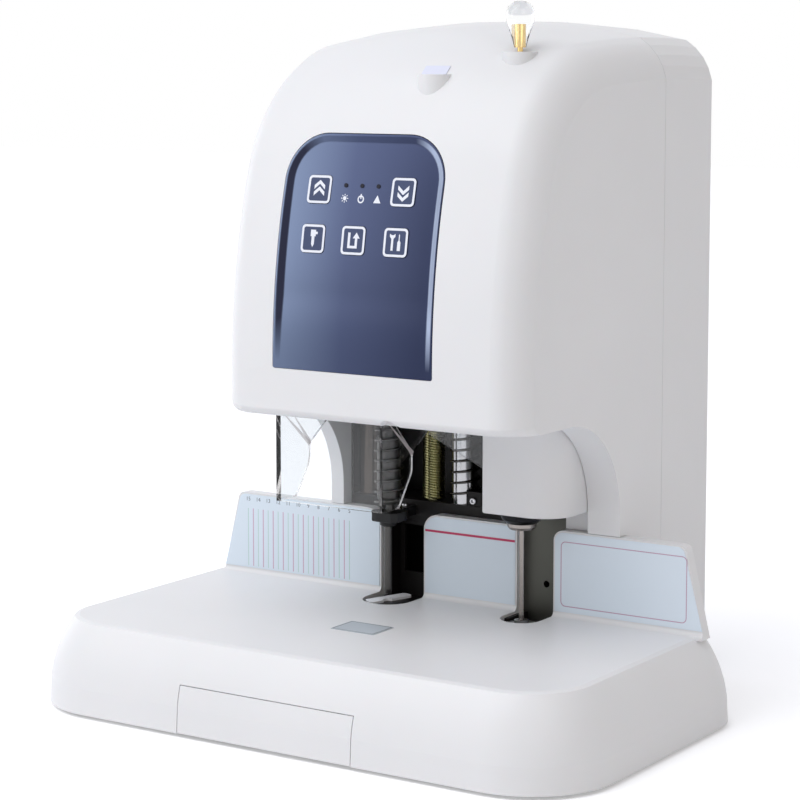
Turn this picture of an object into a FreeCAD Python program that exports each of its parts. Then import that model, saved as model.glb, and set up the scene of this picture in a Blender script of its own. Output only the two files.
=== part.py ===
"""Desk machine that drills a stack of paper and closes it with a plastic tube rivet.

Millimetres, +Z up, +Y to the back.  The origin is on the floor, under the centre of the base.
The operator stands at -Y.  The left station drills, the right station heads the rivet.
"""
import FreeCAD, Part
import math
import os

V = FreeCAD.Vector
UP = V(0, 0, 1)
BACK = V(0, 1, 0)
RIGHT = V(1, 0, 0)

# ---- driving dimensions -------------------------------------------------------------------
FOOT_H = 3.0                  # rubber feet under the base
TABLE_Z = 68.0                # working surface
TABLE_SKIN = 4.0
BASE_HALF = 220.5             # half width of the table at its top edge
BASE_FRONT = -167.5
BASE_BACK = 70.5
BASE_R_FRONT = 48.0
BASE_R_BACK = 25.0
FLARE = 18.0                  # how far the base spreads between table and floor

DRILL_X = -37.5
RIVET_X = 82.5
STATION_Y = 22.5

FENCE_Y = 42.5                # paper stop, front face
FENCE_T = 10.0
FENCE_H = 66.0
DRILL_GAP = (-57.5, -17.5)
RIVET_GAP = (66.5, 98.5)

TOWER_LEFT = -104.0
TOWER_RIGHT = 154.5
TOWER_FRONT = -107.5
TOWER_REAR = 185.5
SEAM_Y = 108.5                # joint between the front moulding and the rear cover
HEAD_Z = 226.0                # underside of the head
BEND_Z = 272.0                # the front face starts to lean back here
FRONT_R = 537.0               # slow curve of the front face
CROWN_R = 119.5               # tighter curve over to the top
TOP_R = 1172.0                # nearly flat top
FRONT_TURN = 0.289            # where the front curve hands over to the crown, radians from level
CROWN_TURN = 1.482            # where the crown hands over to the top
CAMBER_R = 444.0              # the top also falls away to both sides
BAND_WIDE = 22.5              # soft band along both sides, seen from the front
BAND_DEEP = 24.8              # and how far it reaches back down the side
BAND_BULGE = 0.14
BAND_STEPS = 4
CAMBER_STRIPS = 4
NOTCH_X = 47.0                # sight notch in the lower lip of the head
NECK_R = 75.0                 # sweep under the head into the neck
WALL = 3.0
NECK_IN_LEFT = -92.5
NECK_IN_RIGHT = 127.5

PANEL = (-52.3, 85.7, 262.3, 433.0)   # left, right, bottom, top of the key panel
KEY_SIZE = (20.0, 20.5)
KEY_THICK = 2.6
KEYS = {
    "key_up": (-21.5, 393.0),
    "key_down": (51.0, 393.0),
    "key_drill": (-22.5, 357.6),
    "key_reset": (12.8, 357.6),
    "key_rivet": (49.0, 357.6),
}
LAMPS = [(1.3, 396.5), (15.4, 396.5), (29.4, 396.5)]

DRAWER = (-82.5, 69.5, 38.0)          # left, right and top of the waste drawer's opening
DRAWER_BACK = -62.0

POST_Y = 64.5
POST_LEFT_X = -80.0
POST_RIGHT_X = 6.1
POST_R = 10.0
SCREW_X = -22.2
SCREW_R = 9.0
BED_TOP = 60.0
BEAM_Z = (130.0, 142.0)
CARRIAGE_Z = (234.0, 250.0)
TOP_PLATE_Z = (392.0, 400.0)
RUN = 0.05                    # radial clearance of a running fit
SEAT = 0.4                    # gap between pieces that move past each other

PIN_X = 106.3                 # stowed cleaning pin
PIN_Y = -24.0
PIN_BOSS_Z = 491.0
CAP_BOSS = (54.0, -53.0, 475.0)

GUARD_Y = -57.5               # clear guard before the drill
GUARD_X = (-86.0, 10.0)
GUARD_LOW = 153.0

NODES = {}


# ---- small shape helpers ------------------------------------------------------------------
def keep(name, shape):
    """Remember a finished sub-part under its node name."""
    NODES[name] = shape
    return shape


def box(x0, x1, y0, y1, z0, z1):
    return Part.makeBox(x1 - x0, y1 - y0, z1 - z0, V(x0, y0, z0))


def rod(x, y, z0, z1, radius):
    return Part.makeCylinder(radius, z1 - z0, V(x, y, z0), UP)


def ring(x, y, z0, z1, outer, inner):
    return rod(x, y, z0, z1, outer).cut(rod(x, y, z0 - 1, z1 + 1, inner))


def rod_y(x, z, y0, y1, radius):
    return Part.makeCylinder(radius, y1 - y0, V(x, y0, z), BACK)


def join(shapes):
    return shapes[0].multiFuse(shapes[1:]).removeSplitter()


def group(shapes):
    return Part.makeCompound(shapes)


def corner(before, here, after, radius):
    """Tangent points and middle of the arc that rounds one corner of an outline."""
    a = (before - here).normalize()
    b = (after - here).normalize()
    half = a.getAngle(b) / 2
    reach = radius / math.tan(half)
    middle = (a + b).normalize() * (radius / math.sin(half) - radius)
    return here + a * reach, here + middle, here + b * reach


def outline(corners, place):
    """Closed wire through (u, v, radius) corners; place puts (u, v) in space."""
    points = [place(u, v) for u, v, _ in corners]
    count = len(points)
    spans = []
    for i in range(count):
        radius = corners[i][2]
        here = points[i]
        if radius > 0:
            spans.append(corner(points[i - 1], here, points[(i + 1) % count], radius))
        else:
            spans.append((here, here, here))
    edges = []
    for i in range(count):
        start, middle, end = spans[i]
        if corners[i][2] > 0:
            edges.append(Part.Arc(start, middle, end).toShape())
        following = spans[(i + 1) % count][0]
        if (following - end).Length > 1e-6:
            edges.append(Part.makeLine(end, following))
    return Part.Wire(edges)


def flat(z):
    return lambda u, v: V(u, v, z)


def upright(y):
    return lambda u, v: V(u, y, v)


def sideways(x):
    return lambda u, v: V(x, u, v)


def prism(corners, place, direction):
    return Part.Face(outline(corners, place)).extrude(direction)


def rounded_plate(x0, x1, y0, y1, z0, z1, radius):
    corners = [(x0, y0, radius), (x1, y0, radius), (x1, y1, radius), (x0, y1, radius)]
    return prism(corners, flat(z0), UP * (z1 - z0))


def turned(profile, x, y):
    """Solid of revolution about a vertical axis; profile is a list of (radius, z)."""
    points = [V(x + r, y, z) for r, z in profile]
    wire = Part.makePolygon(points + [points[0]])
    return Part.Face(wire).revolve(V(x, y, 0), UP, 360)


def coil(x, y, z0, turns, pitch, mean_r, wire):
    """Compression spring of square-set wire, its ends left open."""
    half = wire / 2
    sides = 9

    def section(step):
        turn = 2 * math.pi * step / sides
        out = V(math.cos(turn), math.sin(turn), 0)
        middle = V(x, y, z0 + half + pitch * step / sides) + out * mean_r
        around = ((-half, -half), (half, -half), (half, half), (-half, half))
        points = [middle + out * u + UP * v for u, v in around]
        return Part.makePolygon(points + [points[0]])

    return Part.makeLoft([section(i) for i in range(int(turns * sides) + 1)], True, True)


# ---- base ---------------------------------------------------------------------------------
def rim_section(hidden, low, top, place):
    """Edge of the base as a closed face; place puts (outward, height) in space."""
    reach = 17.0
    start, swell, crease = place(0.9, top - 4), place(11.4, top - 24), place(FLARE - 1, top - 46)
    corners = [crease, place(FLARE, low), place(-reach, low), place(-reach, top)]
    if hidden:
        corners += [place(0, top), swell, crease]
        return Part.Face(Part.makePolygon(corners))
    corners += [place(-5, top), place(-1.2, top - 1.2), start]
    rest = [Part.makeLine(a, b) for a, b in zip(corners, corners[1:])]
    return Part.Face(Part.Wire([Part.Arc(start, swell, crease).toShape()] + rest))


def base_form(inset, low, top):
    """Flared body of the base: one edge section run along the sides and turned round the corners."""
    half = BASE_HALF - inset
    front = BASE_FRONT + inset
    back = BASE_BACK - inset
    fore = BASE_R_FRONT - inset
    aft = BASE_R_BACK - inset
    core = [(-half + 12, front + 12, 30), (half - 12, front + 12, 30),
            (half - 12, back - 12, 6), (-half + 12, back - 12, 6)]
    parts = [prism(core, flat(low), UP * (top - low))]
    for cx, cy, turn, radius in ((half - fore, front + fore, -90, fore), (half - aft, back - aft, 0, aft),
                                 (-half + aft, back - aft, 90, aft), (-half + fore, front + fore, 180, fore)):
        start = math.radians(turn)
        outward = V(math.cos(start), math.sin(start), 0)
        centre = V(cx, cy, 0)
        face = rim_section(inset > 0, low, top, lambda r, z: centre + outward * (radius + r) + UP * z)
        parts.append(face.revolve(centre, UP, 90))
    for x, y, outward, run in ((half, front + fore, RIGHT, BACK * (back - front - fore - aft)),
                               (-half, front + fore, RIGHT * -1, BACK * (back - front - fore - aft)),
                               (-half + fore, front, BACK * -1, RIGHT * (2 * half - 2 * fore)),
                               (-half + aft, back, BACK, RIGHT * (2 * half - 2 * aft))):
        edge = V(x, y, 0)
        face = rim_section(inset > 0, low, top, lambda r, z: edge + outward * r + UP * z)
        parts.append(face.extrude(run))
    return join(parts)


def fence_body():
    """Paper stop moulded on the table: sloped ends, rounded tops, two gaps, a soft foot."""
    top = TABLE_Z + FENCE_H
    foot = 4.0
    left, right = -212.5, 224.5
    face = [V(left - 20, FENCE_Y, top), V(left - 20, FENCE_Y, TABLE_Z + foot)]
    bend = Part.Arc(face[1], V(left - 20, FENCE_Y - foot * 0.2929, TABLE_Z + foot * 0.2929),
                    V(left - 20, FENCE_Y - foot, TABLE_Z)).toShape()
    low = TABLE_Z - 2
    rest = Part.makePolygon([V(left - 20, FENCE_Y - foot, TABLE_Z), V(left - 20, FENCE_Y - foot, low),
                             V(left - 20, FENCE_Y + FENCE_T, low),
                             V(left - 20, FENCE_Y + FENCE_T, top), face[0]])
    section = Part.Wire([Part.makeLine(face[0], face[1]), bend] + rest.Edges)
    bar = Part.Face(section).extrude(V(right - left + 40, 0, 0))
    plates = [fence_outline("left", 0), fence_outline("middle", 0), fence_outline("right", 0)]
    return [bar.common(prism(corners, upright(FENCE_Y - 20), BACK * 60)) for corners in plates]


def fence_outline(which, inset):
    """Front outline of one fence plate, in X and Z, inset for its facing sheet."""
    low = TABLE_Z - 2 if inset == 0 else TABLE_Z + 4.2
    top = TABLE_Z + FENCE_H - inset
    round_top = 12.0 - inset
    if which == "left":
        return [(-212.5 + inset, low, 0), (DRILL_GAP[0] - inset, low, 0),
                (DRILL_GAP[0] - inset, top, round_top), (-196.5 + inset, top, 6.0)]
    if which == "middle":
        return [(DRILL_GAP[1] + inset, low, 0), (RIVET_GAP[0] - inset, low, 0),
                (RIVET_GAP[0] - inset, top, 2.0 + inset), (DRILL_GAP[1] + inset, top, round_top)]
    return [(RIVET_GAP[1] + inset, low, 0), (224.5 - inset, low, 0),
            (208.5 - inset, top, 6.0), (RIVET_GAP[1] + inset, top, round_top - 4)]


def station_slot(x, radius, depth_z):
    """U-shaped slot in the table with a round front, running back past the fence."""
    round_end = rod(x, STATION_Y, depth_z, TABLE_Z + 1, radius)
    run = box(x - radius, x + radius, STATION_Y, FENCE_Y + FENCE_T + 1, depth_z, TABLE_Z + 1)
    return round_end.fuse(run)


def base_housing():
    """Table, flared skirt, fence and the narrow block that carries the tower."""
    shell = base_form(0, FOOT_H, TABLE_Z)
    block = box(TOWER_LEFT, TOWER_RIGHT, 50, SEAM_Y - 0.2, FOOT_H, TABLE_Z)
    shell = join([shell, block] + fence_body())
    inner = box(TOWER_LEFT + WALL, TOWER_RIGHT - WALL, 40, SEAM_Y + 1, FOOT_H - 1, TABLE_Z - TABLE_SKIN)
    well = box(NECK_IN_LEFT, NECK_IN_RIGHT, FENCE_Y + FENCE_T, SEAM_Y + 1, FOOT_H - 1, TABLE_Z + 1)
    mouth = box(DRAWER[0], DRAWER[1], -300, DRAWER_BACK, FOOT_H - 1, DRAWER[2])
    drill_slot = station_slot(DRILL_X, 20.0, TABLE_Z - 10)
    rivet_slot = station_slot(RIVET_X, 16.0, TABLE_Z - 10)
    room = base_form(5.0, FOOT_H - 1, TABLE_Z - TABLE_SKIN)
    for hollow in (room, inner, well, mouth, drill_slot, rivet_slot):
        shell = shell.cut(hollow)
    return keep("base_housing", shell)


def base_closure():
    """Steel floor of the base and its rubber feet."""
    grow = FLARE - 5.4
    side = BASE_HALF + grow
    back = BASE_BACK + grow
    fore = BASE_R_FRONT + grow
    aft = BASE_R_BACK + grow
    floor = prism([(-side, BASE_FRONT - grow, fore), (side, BASE_FRONT - grow, fore),
                   (side, back, aft), (-side, back, aft)], flat(FOOT_H), UP * 2)
    rear = box(TOWER_LEFT + WALL + 0.4, TOWER_RIGHT - WALL - 0.4, 60, TOWER_REAR - WALL - 0.4, FOOT_H, FOOT_H + 2)
    plate = join([floor, rear])
    places = [(-198, -140), (198, -140), (-88, 160), (133, 160)]
    keep("base_plate", plate)
    keep("rubber_feet", group([rod(x, y, 0, FOOT_H, 10) for x, y in places]))


def fence_sheets():
    """Pale sheets set on the front of the three fence plates."""
    keep("fence_sheets", group([prism(fence_outline(which, 1.4), upright(FENCE_Y - 0.5), BACK * 0.5)
                                for which in ("left", "middle", "right")]))


def drawer():
    """Waste drawer: a front that continues the flared skirt and an open tray."""
    left = DRAWER[0] + 0.6
    right = DRAWER[1] - 0.6
    low = FOOT_H + 0.4
    top = DRAWER[2] - 0.6
    zone = box(left, right, -300, -150, low, top)
    skin = base_form(0, FOOT_H, TABLE_Z).cut(base_form(4.0, FOOT_H, TABLE_Z)).common(zone)
    keep("drawer_front", skin)
    block = box(left + 4, right - 4, -300, DRAWER_BACK - 2, FOOT_H + 3, top - 2)
    tray = block.common(base_form(4.0, FOOT_H, TABLE_Z))
    room = box(left + 6, right - 6, -174, DRAWER_BACK - 4, FOOT_H + 5, top + 5)
    keep("drawer_tray", tray.cut(room))
    rails = []
    for x in (DRAWER[0] - 0.5, DRAWER[1] + 0.5):
        inward = 1 if x < 0 else -1
        upright_x = sorted([x - 2 * inward, x])
        tongue_x = sorted([x - 2 * inward, x + 9.0 * inward])
        web = box(upright_x[0], upright_x[1], -160, DRAWER_BACK, FOOT_H + 2, 20)
        lip = box(tongue_x[0], tongue_x[1], -160, DRAWER_BACK, FOOT_H + 2, FOOT_H + 2.6)
        rails.append(join([web, lip]))
    keep("drawer_rails", group(rails))


# ---- tower --------------------------------------------------------------------------------
def drop(x):
    """How far the cambered top has fallen at x from its middle."""
    return (x - (TOWER_LEFT + TOWER_RIGHT) / 2) ** 2 / (2 * CAMBER_R)


def crown_arcs(depth):
    """Centre (y, z), radius, start and end angle of the three arcs, at a depth below the surface."""
    front = (TOWER_FRONT + FRONT_R, BEND_Z)
    crown = (front[0] - (FRONT_R - CROWN_R) * math.cos(FRONT_TURN),
             front[1] + (FRONT_R - CROWN_R) * math.sin(FRONT_TURN))
    top = (crown[0] + (TOP_R - CROWN_R) * math.cos(CROWN_TURN),
           crown[1] - (TOP_R - CROWN_R) * math.sin(CROWN_TURN))
    return [(front, FRONT_R - depth, 0.0, FRONT_TURN), (crown, CROWN_R - depth, FRONT_TURN, CROWN_TURN),
            (top, TOP_R - depth, CROWN_TURN, 1.63)]


def on_arc(arc, angle):
    """Y and Z on one of the arcs; angle 0 faces the front, a right angle faces up."""
    (y, z), radius = arc[0], arc[1]
    return y - radius * math.cos(angle), z + radius * math.sin(angle)


def tower_wire(x, depth, floor_z, wall):
    """Side profile of the head and neck in the plane X = x; wall also draws in the back and underside."""
    arcs = crown_arcs(depth + wall)
    rear = TOWER_REAR - wall
    top = arcs[2]
    last = math.acos((top[0][0] - rear) / top[1])

    def place(y, z):
        return V(x, y, z)

    def bend(arc, start, end):
        points = []
        for angle in (start, (start + end) / 2, end):
            y, z = on_arc(arc, angle)
            points.append(place(y, z - drop(x)))
        return Part.Arc(*points).toShape()

    curves = [bend(arcs[0], 0.0, FRONT_TURN), bend(arcs[1], FRONT_TURN, CROWN_TURN), bend(top, CROWN_TURN, last)]
    start = curves[0].Vertexes[0].Point
    rear_top = curves[2].Vertexes[-1].Point
    front = start.y
    lip = 9.0
    under = HEAD_Z + wall
    low_front = place(front, under + lip)
    lip_mid = place(front + lip * 0.2929, under + lip * 0.2929)
    low_back = place(front + lip, under)
    rear_low = place(rear, floor_z)
    edges = curves + [Part.makeLine(rear_top, rear_low)]
    if floor_z < HEAD_Z:
        bend_top = place(FENCE_Y - NECK_R, HEAD_Z)
        bend_mid = place(FENCE_Y - NECK_R * 0.2929, HEAD_Z - NECK_R * 0.2929)
        bend_low = place(FENCE_Y, HEAD_Z - NECK_R)
        foot = place(FENCE_Y, floor_z)
        edges += [Part.makeLine(rear_low, foot), Part.makeLine(foot, bend_low),
                  Part.Arc(bend_low, bend_mid, bend_top).toShape(), Part.makeLine(bend_top, low_back)]
    else:
        edges += [Part.makeLine(rear_low, low_back)]
    edges += [Part.Arc(low_back, lip_mid, low_front).toShape(), Part.makeLine(low_front, start)]
    return Part.Wire(edges)


def cambered(left, right, depth, floor_z):
    """Head and neck between two planes, without the soft bands; the top falls away to both sides."""
    step = (right - left) / CAMBER_STRIPS
    wires = [tower_wire(left + step * i, depth, floor_z, 0) for i in range(CAMBER_STRIPS + 1)]
    return Part.makeLoft(wires, True, True)


def band_stations(side, wall):
    """X and depth of the profiles that carry the soft band of one side, from the face outwards."""
    edge = (TOWER_RIGHT if side > 0 else TOWER_LEFT) - side * wall
    trim = 1.7 if wall else 0.0
    wide = BAND_WIDE - trim
    deep = BAND_DEEP - trim
    steps = 1 if wall else BAND_STEPS
    stations = []
    for i in range(steps + 1):
        t = i / steps
        swell = BAND_BULGE * 4 * t * (1 - t)
        stations.append((edge - side * (wide * (1 - t) - deep * swell), deep * t - wide * swell))
    return stations


def tower_form(floor_z, wall):
    """Head and neck as one solid: side profiles lofted across, sinking into the bands at both sides."""
    left = band_stations(-1, wall)[::-1]
    right = band_stations(1, wall)
    count = 2 if wall else 5
    start = left[-1][0]
    step = (right[0][0] - start) / count
    middle = [(start + step * i, 0.0) for i in range(1, count)]
    wires = [tower_wire(x, depth, floor_z, wall) for x, depth in left + middle + right]
    return Part.makeLoft(wires, True, True).removeSplitter()


def crown_layer(outer, inner):
    """Layer of the head under the key panel, between two depths below its front and top surface."""
    left, right = PANEL[0] - 2, PANEL[1] + 2
    return cambered(left, right, outer, HEAD_Z).cut(cambered(left - 1, right + 1, inner, HEAD_Z - 1))


def panel_outline(inset, foot_inset):
    x0, x1, z0, z1 = PANEL
    return [(x0 + inset, z0 + foot_inset, 2.0), (x1 - inset, z0 + foot_inset, 2.0),
            (x1 - inset, z1 - inset, 34.0 - inset), (x0 + inset, z1 - inset, 34.0 - inset)]


def crown_point(x, z):
    """Y of the head's front surface at (x, z), and its slope angle there."""
    level = z + drop(x)
    if level <= BEND_Z:
        return TOWER_FRONT, 0.0
    for arc in crown_arcs(0):
        (y, mid_z), radius = arc[0], arc[1]
        lean = math.asin((level - mid_z) / radius)
        if lean <= arc[3]:
            return y - radius * math.cos(lean), lean


def boss(x, y, top, width, length):
    """Flat-topped oval bump that grows out of the sloping crown."""
    radius = width / 2
    corners = [(x - radius, y - length / 2, radius), (x + radius, y - length / 2, radius),
               (x + radius, y + length / 2, radius), (x - radius, y + length / 2, radius)]
    eased = [(u, v, radius - 0.05) for u, v, _ in corners]
    return prism(eased, flat(top - 30), UP * 30)


def head_shells():
    """Front moulding with neck walls, and the rear cover that closes it."""
    outer = tower_form(TABLE_Z + 0.2, 0)
    bosses = [boss(PIN_X, PIN_Y, PIN_BOSS_Z, 24, 28), boss(CAP_BOSS[0], CAP_BOSS[1], CAP_BOSS[2], 26, 28)]
    outer = join([outer] + bosses)
    inner = tower_form(HEAD_Z + WALL, WALL)
    well = box(NECK_IN_LEFT, NECK_IN_RIGHT, FENCE_Y - NECK_R, TOWER_REAR - WALL, 40, HEAD_Z)
    drill_way = box(NECK_IN_LEFT, 44, -12, TOWER_REAR - WALL, HEAD_Z - 1, HEAD_Z + WALL + 1)
    rivet_way = box(60, 105, 0, 50, HEAD_Z - 1, HEAD_Z + WALL + 1)
    rear_way = box(40, NECK_IN_RIGHT, 45, TOWER_REAR - WALL, HEAD_Z - 1, HEAD_Z + WALL + 1)
    fence_room = box(-230, 240, 0, FENCE_Y + FENCE_T + 0.3, 0, TABLE_Z + FENCE_H + 0.4)
    shell = outer
    for hollow in (inner, well, drill_way, rivet_way, rear_way, fence_room):
        shell = shell.cut(hollow)
    front = shell.cut(box(-300, 300, SEAM_Y - 0.2, 400, 0, 600))
    window = prism(panel_outline(0, 0), upright(TOWER_FRONT - 5), BACK * 90)
    front = front.cut(window)
    front = front.cut(rod_y(NOTCH_X, HEAD_Z - 4.7, TOWER_FRONT - 5, TOWER_FRONT + 12, 9.7))
    front = front.cut(rod(PIN_X, PIN_Y, 400, 520, 2.0 + RUN))
    rear = shell.cut(box(-300, 300, -300, SEAM_Y + 0.2, 0, 600))
    rear = rear.cut(box(TOWER_LEFT + WALL, TOWER_RIGHT - WALL, SEAM_Y, TOWER_REAR - WALL, 0, HEAD_Z + 10))
    liner = box(104.6, NECK_IN_RIGHT + 1, 50.5, 52.9, TABLE_Z + FENCE_H + 0.4, HEAD_Z + 1)
    front = join([front, liner])
    skirt = box(TOWER_LEFT, TOWER_RIGHT, SEAM_Y + 0.2, TOWER_REAR, FOOT_H, TABLE_Z + 0.2)
    skirt = skirt.cut(box(TOWER_LEFT + WALL, TOWER_RIGHT - WALL, SEAM_Y, TOWER_REAR - WALL, 0, 100))
    rear = join([rear, skirt])
    louvres = [box(-25, 70, TOWER_REAR - 10, TOWER_REAR + 5, z, z + 4) for z in range(380, 461, 10)]
    low_louvres = [box(-60, 0, TOWER_REAR - 10, TOWER_REAR + 5, z, z + 4) for z in range(90, 141, 10)]
    rear = rear.cut(group(louvres + low_louvres))
    rear = rear.cut(box(92, 121, TOWER_REAR - 10, TOWER_REAR + 5, 28, 50))
    rear = rear.cut(box(66.5, 82.5, TOWER_REAR - 10, TOWER_REAR + 5, 26, 52))
    keep("tower_shell", front)
    keep("rear_cover", rear)


# ---- key panel ----------------------------------------------------------------------------
def key_pose(x, z):
    """Surface point and outward normal on the panel's face."""
    y, lean = crown_point(x, z)
    return V(x, y, z), V(0, -math.cos(lean), math.sin(lean))


def key_block(x, z, grow, front, back):
    """Rounded square plate standing on the panel face; front and back are depths below it."""
    face, normal = key_pose(x, z)
    upward = RIGHT.cross(normal) * -1
    across = KEY_SIZE[0] / 2 + grow
    tall = KEY_SIZE[1] / 2 + grow
    origin = face - normal * back

    def place(u, v):
        return origin + RIGHT * u + upward * v

    corners = [(-across, -tall, 3), (across, -tall, 3), (across, tall, 3), (-across, tall, 3)]
    return prism(corners, place, normal * (back - front))


def key_panel():
    """Glossy panel sunk into the head, its five keys, three lamps and the board behind."""
    plate = prism(panel_outline(0.3, 0.3), upright(TOWER_FRONT - 5), BACK * 90)
    plate = plate.common(crown_layer(0.2, 7.0))
    field = prism(panel_outline(6.5, 0.4), upright(TOWER_FRONT - 5), BACK * 90)
    sunk = 3.0
    x0, x1, z0, z1 = PANEL
    ramp_top = z0 + 62
    ramp = Part.makePolygon([V(x0, TOWER_FRONT - 20, z0 - 1), V(x0, TOWER_FRONT + 0.3, z0 - 1),
                             V(x0, TOWER_FRONT + sunk + 0.6, ramp_top - 8), V(x0, TOWER_FRONT - 20, ramp_top - 8),
                             V(x0, TOWER_FRONT - 20, z0 - 1)])
    low_cut = Part.Face(ramp).extrude(V(x1 - x0, 0, 0))
    high_cut = crown_layer(-6, sunk).common(box(x0, x1, TOWER_FRONT - 20, 0, ramp_top - 8, z1 + 5))
    plate = plate.cut(field.common(low_cut)).cut(field.common(high_cut))
    for name, (x, z) in KEYS.items():
        plate = plate.cut(key_block(x, z, 0.35, -5, 6.4))
        keep(name, key_block(x, z, 0, sunk - 0.6, sunk - 0.6 + KEY_THICK))
    lamps = []
    for x, z in LAMPS:
        face, normal = key_pose(x, z)
        lamps.append(Part.makeCylinder(1.6, 0.5, face - normal * (sunk - 0.02), normal))
    keep("control_panel", plate)
    keep("lamp_lenses", group(lamps))
    board = box(-44, 77, -82.4, -80.8, 276, 384)
    posts = [box(x - 3, x + 3, -101, -80.8, z - 3, z + 3) for x in (-38, 71) for z in (284, 330)]
    room = cambered(-50, 80, 7.1, HEAD_Z)
    keep("panel_board", join([board] + [post.common(room) for post in posts]))


# ---- press frame --------------------------------------------------------------------------
def press_frame():
    """Black steel frame: bed under the table, cheeks, back plate and the beam over the fence."""
    bed = box(-90.4, 125.4, FENCE_Y + FENCE_T + 0.5, 98.5, BED_TOP - 8, BED_TOP)
    tongue = box(-62, 104, -6, FENCE_Y + FENCE_T + 0.5, BED_TOP - 8, BED_TOP)
    legs = [box(x, x + 6, -6, 98.5, FOOT_H + 2, BED_TOP - 8) for x in (-62, 98)]
    ledge = box(RIVET_X - 15.5, RIVET_X - 12.4, STATION_Y + 1, 52, BED_TOP, 66)
    keep("bed_plate", join([bed, tongue, ledge] + legs))
    back = box(-92.2, 127.2, 98.5, 101.5, FOOT_H + 2, TOP_PLATE_Z[1])
    keep("frame_back", back)
    keep("frame_cheeks", group([box(x, x + 1.8, FENCE_Y + FENCE_T + 0.6, 98.5, BED_TOP - 8, HEAD_Z)
                                for x in (-92.2, 125.4)]))
    beam = box(-90.4, 66.0, 53.2, 90, BEAM_Z[0], BEAM_Z[1])
    for x in (POST_LEFT_X, POST_RIGHT_X):
        beam = beam.cut(rod(x, POST_Y, BEAM_Z[0] + 4, BEAM_Z[1] + 1, POST_R))
    beam = beam.cut(rod(SCREW_X, POST_Y, BEAM_Z[0] + 2, BEAM_Z[1] + 1, 5.0 + RUN))
    keep("cross_beam", beam)
    left, right = DRILL_GAP
    walls = join([box(left - 2, left, 53.2, 73.5, BED_TOP, BEAM_Z[0]),
                  box(right, right + 2, 53.2, 73.5, BED_TOP, BEAM_Z[0]),
                  box(left, right, 70.5, 73.5, BED_TOP, BEAM_Z[0])])
    walls = walls.cut(box(left + 4, right - 8, 70, 74, BED_TOP + 20, BEAM_Z[0] - 12))
    keep("drill_channel", walls)
    column = box(66.0, 104.0, 53.2, 84.0, BED_TOP, HEAD_Z - 0.5)
    keep("rivet_column", column.cut(rod_y(86.5, 89, 40, 66, 2.6)))


def guide_posts():
    """Ground posts that the carriage rides on, and the plate that ties their tops."""
    keep("guide_posts", group([rod(x, POST_Y, BEAM_Z[0] + 4, TOP_PLATE_Z[1], POST_R)
                               for x in (POST_LEFT_X, POST_RIGHT_X)]))
    plate = box(-98, 40, 34, 98.3, TOP_PLATE_Z[0], TOP_PLATE_Z[1])
    for x in (POST_LEFT_X, POST_RIGHT_X):
        plate = plate.cut(rod(x, POST_Y, 380, 410, POST_R))
    plate = plate.cut(rod(SCREW_X, POST_Y, 380, 410, 6.0 + RUN))
    keep("top_plate", plate)
    keep("post_clamp", clamp_block())


def clamp_block():
    block = rounded_plate(POST_RIGHT_X - 2, 28, 54.4, 78, BEAM_Z[1], BEAM_Z[1] + 11, 2)
    return block.cut(rod(POST_RIGHT_X, POST_Y, 100, 200, POST_R + 3.4))


def lead_screw():
    """Press screw in its beam bearing, with the coupling to the motor above."""
    shaft = turned([(0, BEAM_Z[0] + 2.4), (5, BEAM_Z[0] + 2.4), (5, BEAM_Z[1] + 0.4), (SCREW_R, BEAM_Z[1] + 0.4),
                    (SCREW_R, 368), (6, 368), (6, TOP_PLATE_Z[1] - 0.4), (0, TOP_PLATE_Z[1] - 0.4)],
                   SCREW_X, POST_Y)
    keep("lead_screw", shaft)
    keep("screw_coupling", ring(SCREW_X, POST_Y, 370, 390, 11, 6.0))
    keep("press_motor", join([rod(SCREW_X, POST_Y, TOP_PLATE_Z[1], 452, 25),
                              box(SCREW_X - 27, SCREW_X + 27, POST_Y - 27, POST_Y + 27,
                                  TOP_PLATE_Z[1], TOP_PLATE_Z[1] + 6)]))


def springs():
    """Return springs round the right post and round the drill chuck."""
    keep("post_spring", coil(POST_RIGHT_X, POST_Y, BEAM_Z[1] + 1.2, 10.25, 8.5, POST_R + 1.6, 1.7))
    keep("drill_spring", coil(DRILL_X, STATION_Y, 139.2, 11.5, 8.0, 10.3, 1.7))


# ---- carriage, drill and rivet ram ---------------------------------------------------------
def carriage():
    """Cast carriage that lowers the drill and the ram together."""
    low, high = CARRIAGE_Z
    plate = rounded_plate(-96, 108, 0, 92, low, high, 4)
    sleeves = [rod(x, POST_Y, low, high + 24, POST_R + 6) for x in (POST_LEFT_X, POST_RIGHT_X)]
    nut = rod(SCREW_X, POST_Y, low, high + 14, SCREW_R + 4)
    body = join([plate] + sleeves + [nut])
    for x in (POST_LEFT_X, POST_RIGHT_X):
        body = body.cut(rod(x, POST_Y, low - 1, high + 30, POST_R + RUN + 2))
    body = body.cut(rod(SCREW_X, POST_Y, low - 1, high + 30, SCREW_R + RUN))
    body = body.cut(rod(DRILL_X, STATION_Y, low - 1, high + 1, 14))
    keep("press_carriage", body)
    bushes = [ring(x, POST_Y, low, high + 24, POST_R + RUN + 2, POST_R + RUN)
              for x in (POST_LEFT_X, POST_RIGHT_X)]
    keep("carriage_bushes", group(bushes + [ring(DRILL_X, STATION_Y, low, high, 14, 6.0 + RUN)]))
    motor = turned([(0, 258), (22, 258), (22, 312), (16, 318), (0, 318)], DRILL_X, STATION_Y)
    stand = ring(DRILL_X, STATION_Y, high, 258, 20, 15)
    motor = join([motor, stand]).cut(rod(DRILL_X, STATION_Y, 250, 264, 6.0 + RUN))
    keep("drill_motor", motor)


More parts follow.
